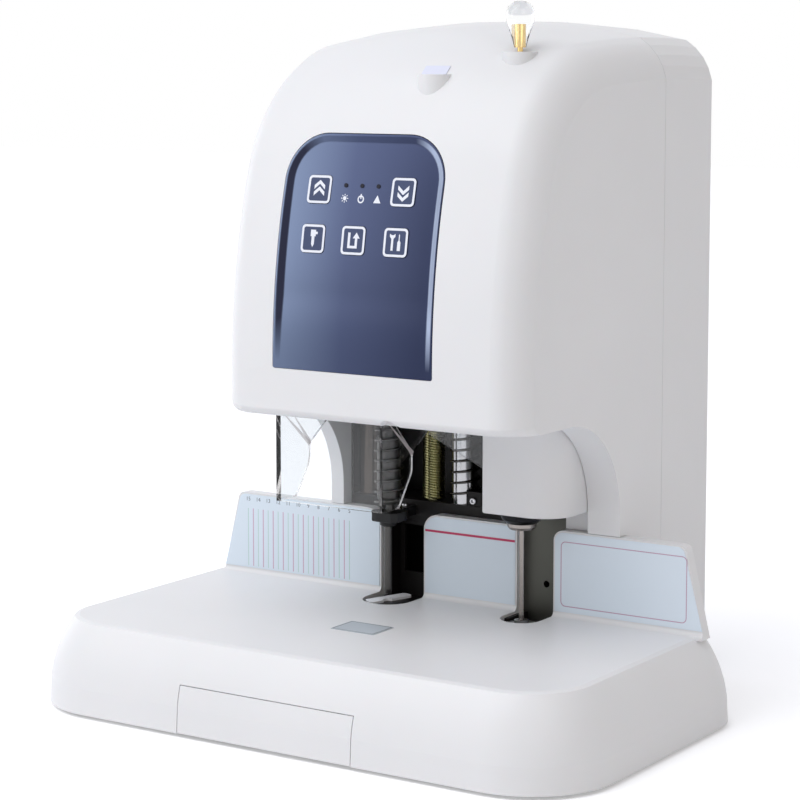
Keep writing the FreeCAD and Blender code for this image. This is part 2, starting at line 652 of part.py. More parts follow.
def drill():
    """Spindle, chuck and hollow bit, which turn together."""
    keep("drill_spindle", rod(DRILL_X, STATION_Y, 196, 263, 6.0))
    chuck = turned([(0, 143), (5.5, 143), (8, 149), (8, 196), (0, 196)], DRILL_X, STATION_Y)
    keep("drill_chuck", chuck.cut(rod(DRILL_X, STATION_Y, 140, 160, 3.0)))
    bit = turned([(2.3, 72.5), (3.0, 76), (3.0, 160), (2.3, 160)], DRILL_X, STATION_Y)
    keep("drill_bit", bit)


def rivet_ram():
    """Ram rod, heater, hot tip and the pin that finds the hole in the stack."""
    keep("ram_rod", rod(RIVET_X, STATION_Y, 181, CARRIAGE_Z[0], 7))
    keep("heater_block", turned([(0, 141), (11.5, 141), (15, 144), (17, 149), (17, 154), (12, 156), (12, 181),
                                 (0, 181)], RIVET_X, STATION_Y))
    tip = turned([(2, 136.5), (9.5, 136.5), (11, 138.5), (11, 141), (2, 141)], RIVET_X, STATION_Y)
    keep("rivet_tip", tip)
    pin = turned([(0, 64.5), (1.2, 64.5), (2.0, 68), (2.0, 141), (0, 141)], RIVET_X, STATION_Y)
    keep("guide_pin", pin)


def station_fittings():
    """What sits in the two table slots and in front of the channel."""
    pad = rod(DRILL_X, STATION_Y, BED_TOP, 65.5, 17)
    keep("cutter_pad", pad)
    x, y = DRILL_X, STATION_Y
    arm = prism([(x - 16, y - 9, 3), (x - 6, y - 16, 3), (x + 7, y + 24, 3), (x - 3, y + 28, 3)],
                flat(65.5), UP * 1.8)
    hole = rod(DRILL_X, STATION_Y, 60, 70, 4.2)
    keep("pad_clamp", arm.cut(hole))
    block = rounded_plate(DRILL_X - 16, DRILL_X + 18, 8.5, 38.5, 126, 138, 5)
    arm = box(DRILL_X - 10, DRILL_X + 10, 36, 53.2, 131, 138)
    guide = join([block, arm]).cut(rod(DRILL_X, STATION_Y, 120, 150, 3.0 + SEAT))
    keep("drill_guide", guide)
    anvil = turned([(2.4, BED_TOP), (12, BED_TOP), (12, 64), (5.5, 64), (5.5, 67), (2.4, 67)],
                   RIVET_X, STATION_Y)
    keep("rivet_anvil", anvil)


def rivet_housing():
    """White cover that hangs under the head round the ram."""
    def form(inset, z0, z1):
        corners = [(44.5 + inset, 44 - inset, 1), (44.5 + inset, -16.5 + inset, 6 - inset / 2),
                   (127 - inset, -16.5 + inset, 28 - inset), (127 - inset, 44 - inset, 1)]
        return prism(corners, flat(z0), UP * (z1 - z0))
    cover = form(0, 153, HEAD_Z).cut(form(2.5, 155.5, HEAD_Z + 1))
    return keep("rivet_housing", cover.cut(rod(RIVET_X, STATION_Y, 140, 160, 17 + SEAT)))


# ---- clear guards -------------------------------------------------------------------------
def guard_wing(x):
    """Side wing of the guard: wide at the top, cut away in a curve below."""
    front = GUARD_Y + 3
    corners = [(front, GUARD_LOW, 0), (-34, GUARD_LOW, 6), (-16, 178, 14), (-16, 192, 4),
               (14, 212, 4), (22, HEAD_Z, 0), (front, HEAD_Z, 0)]
    return prism(corners, sideways(x), RIGHT * 3)

def clear_guards():
    """Acrylic guard before the drill and the slanting sheet beside it."""
    left, right = GUARD_X
    top = HEAD_Z
    sheet = box(left, right, GUARD_Y, GUARD_Y + 3, GUARD_LOW, top)
    flange = box(left, right, GUARD_Y, GUARD_Y + 14, top - 3, top)
    guard = join([sheet, flange, guard_wing(left), guard_wing(right - 3)])
    keep("clear_guard", guard)
    start = V(12.2, 3.0, 0)
    run = V(44.4, 23.0, 0) - start
    along = V(run.x, run.y, 0).normalize()
    normal = V(-along.y, along.x, 0)
    span = run.Length

    def place(u, v):
        return start + along * u + V(0, 0, v)

    sheet = prism([(0, 204, 1), (span, 180, 1), (span, HEAD_Z, 0), (0, HEAD_Z, 0)],
                  place, normal * 3)
    keep("clear_skirt", sheet.cut(box(44.4, 60, 0, 60, 150, 240)))


# ---- small outside pieces -----------------------------------------------------------------
def top_fittings():
    """Cleaning pin stowed in the crown, with its clear grip and brass core."""
    foot = PIN_BOSS_Z + 3.0
    grip = turned([(4.2, foot), (6.0, foot), (6.6, 500), (10.2, 513), (10.3, 518), (7.4, 525), (3.0, 527),
                   (0, 527), (0, 511), (4.2, 511)], PIN_X, PIN_Y)
    keep("pin_grip", grip)
    keep("cleaning_pin", turned([(0, 410), (2, 410), (2, foot), (4.2, foot), (4.2, 511), (0, 511)], PIN_X, PIN_Y))
    keep("table_plate", rounded_plate(-18.5, 19.5, -83.5, -55.5, TABLE_Z, TABLE_Z + 0.4, 1))


def electrics():
    """Power inlet, rocker switch, supply and control board."""
    socket = box(92.3, 120.7, TOWER_REAR - 24, TOWER_REAR, 28.3, 49.7)
    well = prism([(95, 31, 2), (118, 31, 2), (118, 47, 5), (95, 47, 5)], upright(TOWER_REAR - 18), BACK * 20)
    prongs = [box(x - 1, x + 1, TOWER_REAR - 18, TOWER_REAR - 5, 36, 42) for x in (100, 106.5, 113)]
    frame = box(66.8, 82.2, TOWER_REAR - 16, TOWER_REAR, 26.3, 51.7)
    frame = frame.cut(box(68.8, 80.2, TOWER_REAR - 13, TOWER_REAR + 1, 28.3, 49.7))
    frame = frame.cut(Part.makeCylinder(1.0 + RUN, 14.8, V(67.1, TOWER_REAR - 5.6, 39), RIGHT))
    bridge = box(82, 93, TOWER_REAR - 16, TOWER_REAR - 6, 30, 48)
    keep("power_inlet", join([socket.cut(well), frame, bridge] + prongs))
    rocker = Part.makePolygon([V(69.2, y, z) for y, z in
                               [(TOWER_REAR - 7, 30.5), (TOWER_REAR - 2.6, 30), (TOWER_REAR - 3.4, 39),
                                (TOWER_REAR - 0.6, 47.6), (TOWER_REAR - 6, 47.4), (TOWER_REAR - 7.5, 39),
                                (TOWER_REAR - 7, 30.5)]])
    axle = Part.makeCylinder(1.0, 14, V(67.5, TOWER_REAR - 5.6, 39), RIGHT)
    keep("rocker_switch", join([Part.Face(rocker).extrude(V(10.6, 0, 0)), axle]))
    keep("power_supply", rounded_plate(-96, -6, 106, 172, FOOT_H + 2, 62, 2))
    board = box(-60, 92, 107.5, 109.1, 120, 262)
    posts = [box(x - 3, x + 3, 101.5, 107.5, z - 3, z + 3) for x in (-54, 86) for z in (128, 254)]
    keep("control_board", join([board] + posts))


def build():
    base_housing()
    base_closure()
    fence_sheets()
    drawer()
    head_shells()
    key_panel()
    press_frame()
    guide_posts()
    lead_screw()
    springs()
    carriage()
    drill()
    rivet_ram()
    station_fittings()
    rivet_housing()
    clear_guards()
    top_fittings()
    electrics()


build()
os.makedirs("parts", exist_ok=True)
for name, shape in NODES.items():
    shape.exportStep("parts/" + name + ".step")
print(len(NODES), "nodes")
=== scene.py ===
import math

import bmesh
import bpy
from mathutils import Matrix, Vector
from mathutils.geometry import convex_hull_2d


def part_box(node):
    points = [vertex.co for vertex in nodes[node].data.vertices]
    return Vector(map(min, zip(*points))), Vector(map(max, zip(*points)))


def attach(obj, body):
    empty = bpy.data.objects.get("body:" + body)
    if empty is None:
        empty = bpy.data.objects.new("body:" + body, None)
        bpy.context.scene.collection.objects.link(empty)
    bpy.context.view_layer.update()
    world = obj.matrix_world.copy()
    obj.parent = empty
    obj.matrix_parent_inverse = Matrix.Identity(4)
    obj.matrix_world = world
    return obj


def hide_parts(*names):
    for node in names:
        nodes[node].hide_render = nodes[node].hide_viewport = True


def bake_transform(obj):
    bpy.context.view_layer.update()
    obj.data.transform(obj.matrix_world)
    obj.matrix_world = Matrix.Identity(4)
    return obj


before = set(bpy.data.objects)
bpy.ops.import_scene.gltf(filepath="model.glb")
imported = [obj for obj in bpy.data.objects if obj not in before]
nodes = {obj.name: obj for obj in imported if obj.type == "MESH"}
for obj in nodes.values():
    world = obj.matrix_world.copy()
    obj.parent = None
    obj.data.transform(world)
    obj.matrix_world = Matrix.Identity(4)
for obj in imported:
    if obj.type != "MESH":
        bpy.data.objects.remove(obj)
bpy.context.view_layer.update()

# ---- Studio --------------------------------------------------------------------------------
# A white floor and white surroundings, a soft sun from the front left and above, weak panels on
# the left and over the table, and a warm one on the right. The camera stands off the right front corner.
world = bpy.data.worlds.new("studio")
bpy.context.scene.world = world
world.use_nodes = True
wire, make = world.node_tree.links, world.node_tree.nodes.new


def seen_directly(tree):
    """1 for rays from the camera and for those that gloss or glass sends on."""
    path = tree.nodes.new("ShaderNodeLightPath")
    first = tree.nodes.new("ShaderNodeMath")
    first.operation = "MAXIMUM"
    second = tree.nodes.new("ShaderNodeMath")
    second.operation = "MAXIMUM"
    tree.links.new(path.outputs["Is Camera Ray"], first.inputs[0])
    tree.links.new(path.outputs["Is Glossy Ray"], first.inputs[1])
    tree.links.new(first.outputs[0], second.inputs[0])
    tree.links.new(path.outputs["Is Transmission Ray"], second.inputs[1])
    return second.outputs[0]


surround = world.node_tree.nodes["Background"]
surround.inputs["Color"].default_value = (1, 1, 1, 1)
surround.inputs["Strength"].default_value = 1.0
sky = make("ShaderNodeBackground")
both = make("ShaderNodeMixShader")
direction = make("ShaderNodeTexCoord")
split = make("ShaderNodeSeparateXYZ")
half_step = make("ShaderNodeMath")
half_step.operation = "MULTIPLY_ADD"
half_step.inputs[1].default_value = 0.5
half_step.inputs[2].default_value = 0.5
side_ramp = make("ShaderNodeValToRGB")
cool, warm = side_ramp.color_ramp.elements
cool.position = 0.30
cool.color = (0.50, 0.505, 0.54, 1)
warm.position = 0.72
warm.color = (0.275, 0.240, 0.185, 1)
overhead = make("ShaderNodeMapRange")
overhead.inputs["From Min"].default_value = 0.35
overhead.inputs["From Max"].default_value = 1.0
zenith = make("ShaderNodeMix")
zenith.data_type = "RGBA"
zenith.inputs[7].default_value = (0.80, 0.83, 0.93, 1)
wire.new(direction.outputs["Generated"], split.inputs[0])
wire.new(split.outputs["X"], half_step.inputs[0])
wire.new(half_step.outputs[0], side_ramp.inputs["Fac"])
wire.new(split.outputs["Z"], overhead.inputs["Value"])
wire.new(overhead.outputs[0], zenith.inputs[0])
wire.new(side_ramp.outputs["Color"], zenith.inputs[6])
wire.new(zenith.outputs[2], sky.inputs["Color"])
wire.new(seen_directly(world.node_tree), both.inputs["Fac"])
wire.new(sky.outputs[0], both.inputs[1])
wire.new(surround.outputs[0], both.inputs[2])
wire.new(both.outputs[0], world.node_tree.nodes["World Output"].inputs["Surface"])


def new_object(name, data):
    obj = bpy.data.objects.new(name, data)
    bpy.context.scene.collection.objects.link(obj)
    return obj


sun = bpy.data.lights.new("key", "SUN")
sun.energy = 0.88
sun.angle = math.radians(50)
sun.color = (1.0, 0.99, 0.97)
key_light = new_object("key", sun)
key_light.rotation_euler = (math.radians(31), 0, math.radians(-30))


def soft_panel(name, place, aim, wide, tall, power, colour):
    lamp = bpy.data.lights.new(name, "AREA")
    lamp.shape = "RECTANGLE"
    lamp.size, lamp.size_y = wide, tall
    lamp.energy = power
    lamp.color = colour
    panel = new_object(name, lamp)
    panel.location = place
    panel.rotation_euler = (Vector(aim) - panel.location).to_track_quat("-Z", "Y").to_euler()


soft_panel("left_panel", (-0.75, -1.0, 0.8), (0, 0, 0.3), 0.5, 0.9, 2.3, (1, 1, 1))
soft_panel("left_strip", (-1.6, 0.25, 0.4), (0, 0, 0.35), 0.5, 1.2, 2.4, (1, 1, 1))
soft_panel("table_fill", (-0.1, -0.75, 0.95), (0.0, -0.10, 0.07), 0.6, 0.5, 1.0, (0.84, 0.92, 1.0))
soft_panel("right_panel", (1.5, -0.9, 1.3), (0.1, 0, 0.35), 0.9, 0.9, 3.5, (1.0, 0.96, 0.92))


def new_finish(name, values):
    """A new material and its main shader, with some of the shader's inputs set."""
    material = bpy.data.materials.new(name)
    material.use_nodes = True
    shader = material.node_tree.nodes["Principled BSDF"]
    for socket, value in values.items():
        shader.inputs[socket].default_value = value
    return material, material.node_tree, shader


floor_mesh = bpy.data.meshes.new("floor")
floor_mesh.from_pydata([(-8, -8, 0), (8, -8, 0), (8, 8, 0), (-8, 8, 0)], [], [(0, 1, 2, 3)])
floor = new_object("floor", floor_mesh)
floor_paint, tree, floor_shader = new_finish("floor_paint", {
    "Base Color": (0.97, 0.97, 0.975, 1), "Roughness": 0.9, "Specular IOR Level": 0.1})
lift = tree.nodes.new("ShaderNodeEmission")
lift.inputs["Strength"].default_value = 0.24
lifted = tree.nodes.new("ShaderNodeAddShader")
either = tree.nodes.new("ShaderNodeMixShader")
tree.links.new(floor_shader.outputs[0], lifted.inputs[0])
tree.links.new(lift.outputs[0], lifted.inputs[1])
tree.links.new(seen_directly(tree), either.inputs["Fac"])
tree.links.new(floor_shader.outputs[0], either.inputs[1])
tree.links.new(lifted.outputs[0], either.inputs[2])
tree.links.new(either.outputs[0], tree.nodes["Material Output"].inputs["Surface"])
floor_mesh.materials.append(floor_paint)

pitch_down, yaw = 6.25, 33.366
camera_data = bpy.data.cameras.new("camera")
camera_data.lens = 109.95
camera_data.sensor_width = 36
camera_data.shift_y = -0.1
camera = new_object("camera", camera_data)
camera.location = (0.9962, -1.5307, 0.4905)
camera.rotation_euler = (math.radians(90 - pitch_down), 0, math.radians(yaw))
bpy.context.scene.camera = camera
bpy.context.scene.view_settings.view_transform = "Standard"


# ---- White mouldings -----------------------------------------------------------------------
# Base, rear cover and waste drawer are injection-moulded in satin white plastic with a faint
# grain. The rear cover closes the tower behind; the drawer slides out forwards.
def grain_group():
    """Fine moulding grain: a normal, and a slow blotch mask between 0 and 1."""
    tree = bpy.data.node_groups.new("moulded_grain", "ShaderNodeTree")
    face = tree.interface
    face.new_socket("Fineness", in_out="INPUT", socket_type="NodeSocketFloat")
    face.new_socket("Depth", in_out="INPUT", socket_type="NodeSocketFloat")
    face.new_socket("Normal", in_out="OUTPUT", socket_type="NodeSocketVector")
    face.new_socket("Blotch", in_out="OUTPUT", socket_type="NodeSocketFloat")
    into, out = tree.nodes.new("NodeGroupInput"), tree.nodes.new("NodeGroupOutput")
    place = tree.nodes.new("ShaderNodeTexCoord")
    fine = tree.nodes.new("ShaderNodeTexNoise")
    fine.inputs["Detail"].default_value = 3
    slow = tree.nodes.new("ShaderNodeTexNoise")
    slow.inputs["Scale"].default_value = 9
    bump = tree.nodes.new("ShaderNodeBump")
    bump.inputs["Distance"].default_value = 0.0002
    tree.links.new(place.outputs["Object"], fine.inputs["Vector"])
    tree.links.new(place.outputs["Object"], slow.inputs["Vector"])
    tree.links.new(into.outputs["Fineness"], fine.inputs["Scale"])
    tree.links.new(into.outputs["Depth"], bump.inputs["Strength"])
    tree.links.new(fine.outputs["Fac"], bump.inputs["Height"])
    tree.links.new(bump.outputs["Normal"], out.inputs["Normal"])
    tree.links.new(slow.outputs["Fac"], out.inputs["Blotch"])
    return tree


grain = grain_group()


def add_grain(tree, shader, fineness, depth):
    node = tree.nodes.new("ShaderNodeGroup")
    node.node_tree = grain
    node.inputs["Fineness"].default_value = fineness
    node.inputs["Depth"].default_value = depth
    tree.links.new(node.outputs["Normal"], shader.inputs["Normal"])
    return node


def blotched(tree, shader, node, dark, light, socket="Base Color"):
    ramp = tree.nodes.new("ShaderNodeValToRGB")
    first, last = ramp.color_ramp.elements
    first.position, last.position = 0.3, 0.7
    first.color, last.color = dark, light
    tree.links.new(node.outputs["Blotch"], ramp.inputs["Fac"])
    tree.links.new(ramp.outputs["Color"], shader.inputs[socket])


def plastic(name, dark, light, roughness, fineness, depth, specular=0.5):
    material, tree, shader = new_finish(name, {"Roughness": roughness, "Specular IOR Level": specular})
    blotched(tree, shader, add_grain(tree, shader, fineness, depth), dark, light)
    return material


white_plastic, tree, shader = new_finish("white_plastic", {
    "Roughness": 0.42, "Specular IOR Level": 0.45, "Subsurface Weight": 0.05, "Subsurface Scale": 0.002})
blotched(tree, shader, add_grain(tree, shader, 2600, 0.10), (0.742, 0.742, 0.752, 1),
         (0.762, 0.761, 0.770, 1))


def dress(node_name, material):
    """A CAD node whose shape is right gets its own material and keeps its surface normals."""
    obj = nodes[node_name]
    obj.data.materials.clear()
    obj.data.materials.append(material)
    return obj


def smooth_piece(name, points, faces, material, angle):
    """A new mesh piece of one material; edges sharper than the angle stay sharp."""
    mesh = bpy.data.meshes.new(name)
    mesh.from_pydata([tuple(p) for p in points], [], faces)
    mesh.validate()
    mesh.materials.append(material)
    mesh.shade_smooth()
    mesh.set_sharp_from_angle(angle=math.radians(angle))
    return new_object(name, mesh)


def add_piece(name, points, faces, material, body, angle=35):
    """A new piece that rides on a body."""
    obj = smooth_piece(name, points, faces, material, angle)
    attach(obj, body)
    return obj


def turn_outwards(obj):
    """All faces of a closed piece look outwards."""
    clean = bmesh.new()
    clean.from_mesh(obj.data)
    bmesh.ops.recalc_face_normals(clean, faces=clean.faces)
    clean.to_mesh(obj.data)
    clean.free()
    return obj


for node_name in ("base_housing", "rear_cover", "drawer_front", "drawer_tray"):
    dress(node_name, white_plastic)

# ---- Head moulding -------------------------------------------------------------------------
# The head and neck are one white moulding: three arcs run up the front and over the crown, the
# top is cambered, and a soft band rolls into each side. The skin is shaded as one smooth form.
head_left, head_right = -0.104, 0.1545
head_middle = (head_left + head_right) / 2
head_front = -0.1075
bend_z = 0.272
front_radius, crown_radius, top_radius = 0.537, 0.1195, 1.172
front_turn, crown_turn = 0.289, 1.482
camber_radius = 0.444
band_wide, band_deep, band_swell, band_lean = 0.0225, 0.0248, 0.56, math.radians(9)
skin_near, flat_side, same_way = 0.0005, 0.995, 0.85
front_centre = Vector((head_front + front_radius, bend_z))
front_end = Vector((-math.cos(front_turn), math.sin(front_turn)))
crown_end = Vector((math.cos(crown_turn), -math.sin(crown_turn)))
crown_centre = front_centre + (front_radius - crown_radius) * front_end
top_centre = crown_centre + (top_radius - crown_radius) * crown_end
arcs = ((front_centre, front_radius, front_turn), (crown_centre, crown_radius, crown_turn),
        (top_centre, top_radius, math.pi))


def fall(x):
    """How far the cambered top has dropped at x, and how steeply."""
    out = x - head_middle
    return out * out / (2 * camber_radius), out / camber_radius


def front_depth(y, level):
    """Depth of a point behind the head's front and top arcs, and the outward direction in Y and Z."""
    if level <= bend_z:
        return y - head_front, Vector((-1, 0))
    for centre, radius, last in arcs:
        away = Vector((y, level)) - centre
        if math.atan2(away.y, -away.x) <= last:
            return radius - away.length, away.normalized()


def band_at(x):
    """Depth of the side band at x, and the turn of its surface towards the side."""
    side = 1 if x > head_middle else -1
    inward = side * ((head_right if side > 0 else head_left) - x)
    if inward >= band_wide:
        return 0.0, 0.0
    a = band_deep * band_swell
    b = -(band_wide + a)
    t = (-b - math.sqrt(max(0.0, b * b - 4 * a * (band_wide - inward)))) / (2 * a)
    t = min(1.0, max(0.0, t))
    depth = band_deep * t - band_wide * band_swell * t * (1 - t)
    rise = band_deep - band_wide * band_swell * (1 - 2 * t)
    run = band_wide + band_deep * band_swell * (1 - 2 * t)
    turn = math.atan2(rise, run) - band_lean * (1 - t) ** 3
    return depth, side * turn


def head_normal(point):
    """Outward normal of the smooth head surface at a point on it, or None away from that surface."""
    drop, slope = fall(point.x)
    depth, out = front_depth(point.y, point.z + drop)
    band, turn = band_at(point.x)
    if abs(depth - band) > skin_near:
        return None
    level = Vector((out.y * slope, out.x, out.y)).normalized()
    return (level * math.cos(turn) + Vector((1, 0, 0)) * math.sin(turn)).normalized()


head_mesh = nodes["tower_shell"].data.copy()
head_mesh.materials.clear()
head_mesh.materials.append(white_plastic)
shading = [corner.vector.copy() for corner in head_mesh.corner_normals]
for face in head_mesh.polygons:
    if abs(face.normal.x) > flat_side:
        continue
    for corner in face.loop_indices:
        smooth = head_normal(head_mesh.vertices[head_mesh.loops[corner].vertex_index].co)
        if smooth is not None and smooth.dot(face.normal) > same_way:
            shading[corner] = smooth
head_mesh.normals_split_custom_set([tuple(direction) for direction in shading])
head = new_object("head_moulding", head_mesh)
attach(head, "housing")
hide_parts("tower_shell")

# ---- Cover round the ram ---------------------------------------------------------------------
# A thin-walled white cover hangs under the head round the ram. Its front right corner is a wide
# quarter round, its lower edge is softened, and the heater passes through a round hole.
cover_left, cover_right, cover_front, cover_back = 0.0622, 0.1270, -0.0024, 0.0440
cover_low, cover_high, cover_wall = 0.1500, 0.2260, 0.0025
corner_radii, corner_steps = (0.0010, 0.0020, 0.0270, 0.0010), (3, 6, 22, 3)
lower_edge = ((0, 0.0014), (0.0004, 0.0005), (0.0013, 0))
ram_x, ram_y, ram_hole = 0.0825, 0.0225, 0.0174


def cover_line(inset):
    """Plan outline from the back left corner, round the front, to the back right corner."""
    left, right = cover_left + inset, cover_right - inset
    front, back = cover_front + inset, cover_back - inset
    corners = ((left, back, 1, -1, 90), (left, front, 1, 1, 180), (right, front, -1, 1, 270),
               (right, back, -1, -1, 0))
    line = []
    for (x, y, sx, sy, turn), radius, steps in zip(corners, corner_radii, corner_steps):
        round_by = max(0.0003, radius - inset)
        for i in range(steps + 1):
            a = math.radians(turn + 90 * i / steps)
            line.append((x + sx * round_by + round_by * math.cos(a),
                         y + sy * round_by + round_by * math.sin(a)))
    return line


def hole_line(line):
    """One point of the round hole for each point of an outline, in the same direction."""
    made = []
    for x, y in line:
        away = Vector((x - ram_x, y - ram_y)).normalized() * ram_hole
        made.append((ram_x + away.x, ram_y + away.y))
    return made


def ring_faces(count, rings, start=0, wrap=False):
    """Four-cornered faces between rings of points; wrap joins the last ring to the first."""
    made = []
    for ring in range(rings if wrap else rings - 1):
        here, beyond = start + ring * count, start + (ring + 1) % rings * count
        for i in range(count):
            j = (i + 1) % count
            made.append((here + i, here + j, beyond + j, beyond + i))
    return made


rows = [(cover_line(cover_wall), cover_high), (cover_line(0), cover_high)]
rows += [(cover_line(inset), cover_low + rise) for inset, rise in lower_edge]
rows += [(hole_line(cover_line(lower_edge[-1][0])), cover_low),
         (hole_line(cover_line(cover_wall)), cover_low + cover_wall),
         (cover_line(cover_wall), cover_low + cover_wall)]
points = [Vector((x, y, z)) for line, z in rows for x, y in line]
faces = ring_faces(len(rows[0][0]), len(rows), wrap=True)
ram_cover = add_piece("ram_cover", points, faces, white_plastic, "housing", 40)
turn_outwards(ram_cover)
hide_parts("rivet_housing")

# ---- Key panel -----------------------------------------------------------------------------
# The panel is one glossy navy moulding let into the head. A bevelled rim leads down to the
# sunk field with its key openings; the field runs out to nothing at the lower edge.
panel_left, panel_right = -0.0520, 0.0854
panel_low, panel_high = 0.2626, 0.4327
crest_depth, field_depth, panel_back = 0.0002, 0.0030, 0.0068
ramp_top, least_sink = panel_low + 0.054, 0.02
panel_corner, skin_thick, opening_gap = 0.0337, 0.0008, 0.0004
side_steps, round_steps, top_steps = 26, 12, 16
panel_gloss, tree, shader = new_finish("panel_gloss", {
    "Metallic": 0.7, "Roughness": 0.30, "Coat Weight": 0.1, "Coat Roughness": 0.12})
add_grain(tree, shader, 1800, 0.05)


def across(tree, start, end):
    """0 to 1 between two places along X."""
    place = tree.nodes.new("ShaderNodeTexCoord")
    axes = tree.nodes.new("ShaderNodeSeparateXYZ")
    reach = tree.nodes.new("ShaderNodeMapRange")
    reach.inputs["From Min"].default_value = start
    reach.inputs["From Max"].default_value = end
    tree.links.new(place.outputs["Object"], axes.inputs[0])
    tree.links.new(axes.outputs["X"], reach.inputs["Value"])
    return reach.outputs[0]


# The navy runs from deep at the right to pale at the left: a painted reflection of the brighter light on
# the left.
navy = tree.nodes.new("ShaderNodeValToRGB")
painted_dark_end, painted_sheen_end = navy.color_ramp.elements
painted_dark_end.position = 0.08
painted_dark_end.color = (0.016, 0.024, 0.066, 1)
painted_sheen_end.position = 0.90
painted_sheen_end.color = (0.125, 0.165, 0.262, 1)
halfway = navy.color_ramp.elements.new(0.50)
halfway.color = (0.042, 0.057, 0.122, 1)
tree.links.new(across(tree, panel_right, panel_left - 0.02), navy.inputs["Fac"])
# The rim's bevels are coloured by the way that they face: the one facing right is painted dark as shade,
# the one facing left pale as a painted highlight.
facing = tree.nodes.new("ShaderNodeNewGeometry")
turned_to = tree.nodes.new("ShaderNodeSeparateXYZ")
tree.links.new(facing.outputs["Normal"], turned_to.inputs[0])
shown = navy.outputs["Color"]
for start, end, colour in ((0.06, 0.34, (0.014, 0.016, 0.040, 1)),
                           (-0.06, -0.34, (0.40, 0.47, 0.64, 1))):
    painted_bevel_mask = tree.nodes.new("ShaderNodeMapRange")
    painted_bevel_mask.inputs["From Min"].default_value = start
    painted_bevel_mask.inputs["From Max"].default_value = end
    shade = tree.nodes.new("ShaderNodeMix")
    shade.data_type = "RGBA"
    shade.inputs[7].default_value = colour
    tree.links.new(turned_to.outputs["X"], painted_bevel_mask.inputs["Value"])
    tree.links.new(painted_bevel_mask.outputs[0], shade.inputs[0])
    tree.links.new(shown, shade.inputs[6])
    shown = shade.outputs[2]
tree.links.new(shown, shader.inputs["Base Color"])


def skin_point(x, z, depth):
    """Point at (x, z) seen from the front, at a depth under the head's front and top arcs."""
    level = z + fall(x)[0]
    if level <= bend_z:
        return Vector((x, head_front + depth, z))
    for centre, radius, last in arcs[:2]:
        lean = math.asin(min(1.0, (level - centre.y) / (radius - depth)))
        if lean <= last:
            return Vector((x, centre.x - (radius - depth) * math.cos(lean), z))


def panel_loop(inset):
    """Outline of the panel from the lower left, over the top, to the lower right."""
    radius = panel_corner - inset
    left, right, high = panel_left + inset, panel_right - inset, panel_high - inset
    loop = [(left, panel_low + (high - radius - panel_low) * i / side_steps) for i in range(side_steps + 1)]
    for i in range(1, round_steps + 1):
        turn = math.radians(90 * i / round_steps)
        loop.append((left + radius - radius * math.cos(turn), high - radius + radius * math.sin(turn)))
    width = right - left - 2 * radius
    loop += [(left + radius + width * i / top_steps, high) for i in range(1, top_steps)]
    return loop + [(left + right - x, z) for x, z in reversed(loop[:side_steps + round_steps + 1])]


def sink(z, depth):
    """The rim's steps fade out where the field runs up to the lower edge."""
    share = min(1.0, max(least_sink, (z - panel_low) / (ramp_top - panel_low)))
    return crest_depth + (depth - crest_depth) * share


rim = [(0, panel_back), (0, 0.0006), (0.0003, 0.0003), (0.0008, crest_depth), (0.0016, crest_depth),
       (0.0024, 0.0006), (0.0055, 0.0026), (0.0064, field_depth), (0.0072, field_depth)]
points, faces, loops = [], [], []
for inset, depth in rim:
    loop = []
    for x, z in panel_loop(inset):
        loop.append(len(points))
        points.append(skin_point(x, z, depth if depth == panel_back else sink(z, depth)))
    loops.append(loop)
for outer, inner in zip(loops, loops[1:]):
    for i in range(len(outer) - 1):
        faces.append((outer[i], outer[i + 1], inner[i + 1], inner[i]))
last = loops[-1]
corner_at = side_steps + round_steps
rows = []
for i in range(corner_at):
    a, b = points[last[i]], points[last[-1 - i]]
    row = [last[i]]
    for j in range(1, top_steps):
        row.append(len(points))
        points.append(skin_point(a.x + (b.x - a.x) * j / top_steps, a.z, sink(a.z, field_depth)))
    rows.append(row + [last[-1 - i]])
rows.append(last[corner_at:corner_at + top_steps + 1])
for low, high in zip(rows, rows[1:]):
    for j in range(top_steps):
        faces.append((low[j], high[j], high[j + 1], low[j + 1]))
edge_row = [loop[0] for loop in loops] + rows[0][1:-1] + [loop[-1] for loop in reversed(loops)]
back_row = []
for index in edge_row[1:-1]:
    back_row.append(len(points))
    points.append(Vector((points[index].x, head_front + panel_back, panel_low)))
back_row = [edge_row[0]] + back_row + [edge_row[-1]]
for i in range(len(edge_row) - 1):
    corners = [edge_row[i], edge_row[i + 1], back_row[i + 1], back_row[i]]
    faces.append(tuple(dict.fromkeys(corners)))
panel_face = add_piece("panel_face", points, faces, panel_gloss, "housing", 60)
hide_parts("control_panel")


def key_front(block):
    """The large front face of a key's mesh."""
    return min(block.polygons, key=lambda face: (round(face.normal.y, 2), -face.area))


def key_opening(name):
    """Prism a little wider than a key's outline, through the panel the way that the key points."""
    block = nodes[name].data
    front = key_front(block)
    outward = front.normal.copy()
    rise = Vector((1, 0, 0)).cross(outward).normalized()
    near = [v.co for v in block.vertices if abs(outward.dot(v.co - front.center)) < 0.0015]
    flat = [Vector((v.x, rise.dot(v))) for v in near]
    line = [flat[i] for i in convex_hull_2d(flat)]
    middle = sum(line, Vector((0, 0))) / len(line)
    line = [p + (p - middle).normalized() * opening_gap for p in line]
    level = outward.dot(front.center)
    made = [Vector((p.x, 0, 0)) + rise * p.y + outward * (level + out)
            for out in (-0.006, 0.004) for p in line]
    count = len(line)
    sides = [tuple(range(count)), tuple(reversed(range(count, 2 * count)))]
    sides += [(i, (i + 1) % count, (i + 1) % count + count, i + count) for i in range(count)]
    return made, sides


def joined(parts):
    """Points and faces of several closed parts, as one mesh."""
    points, faces = [], []
    for made, sides in parts:
        faces += [tuple(len(points) + i for i in side) for side in sides]
        points += made
    return points, faces


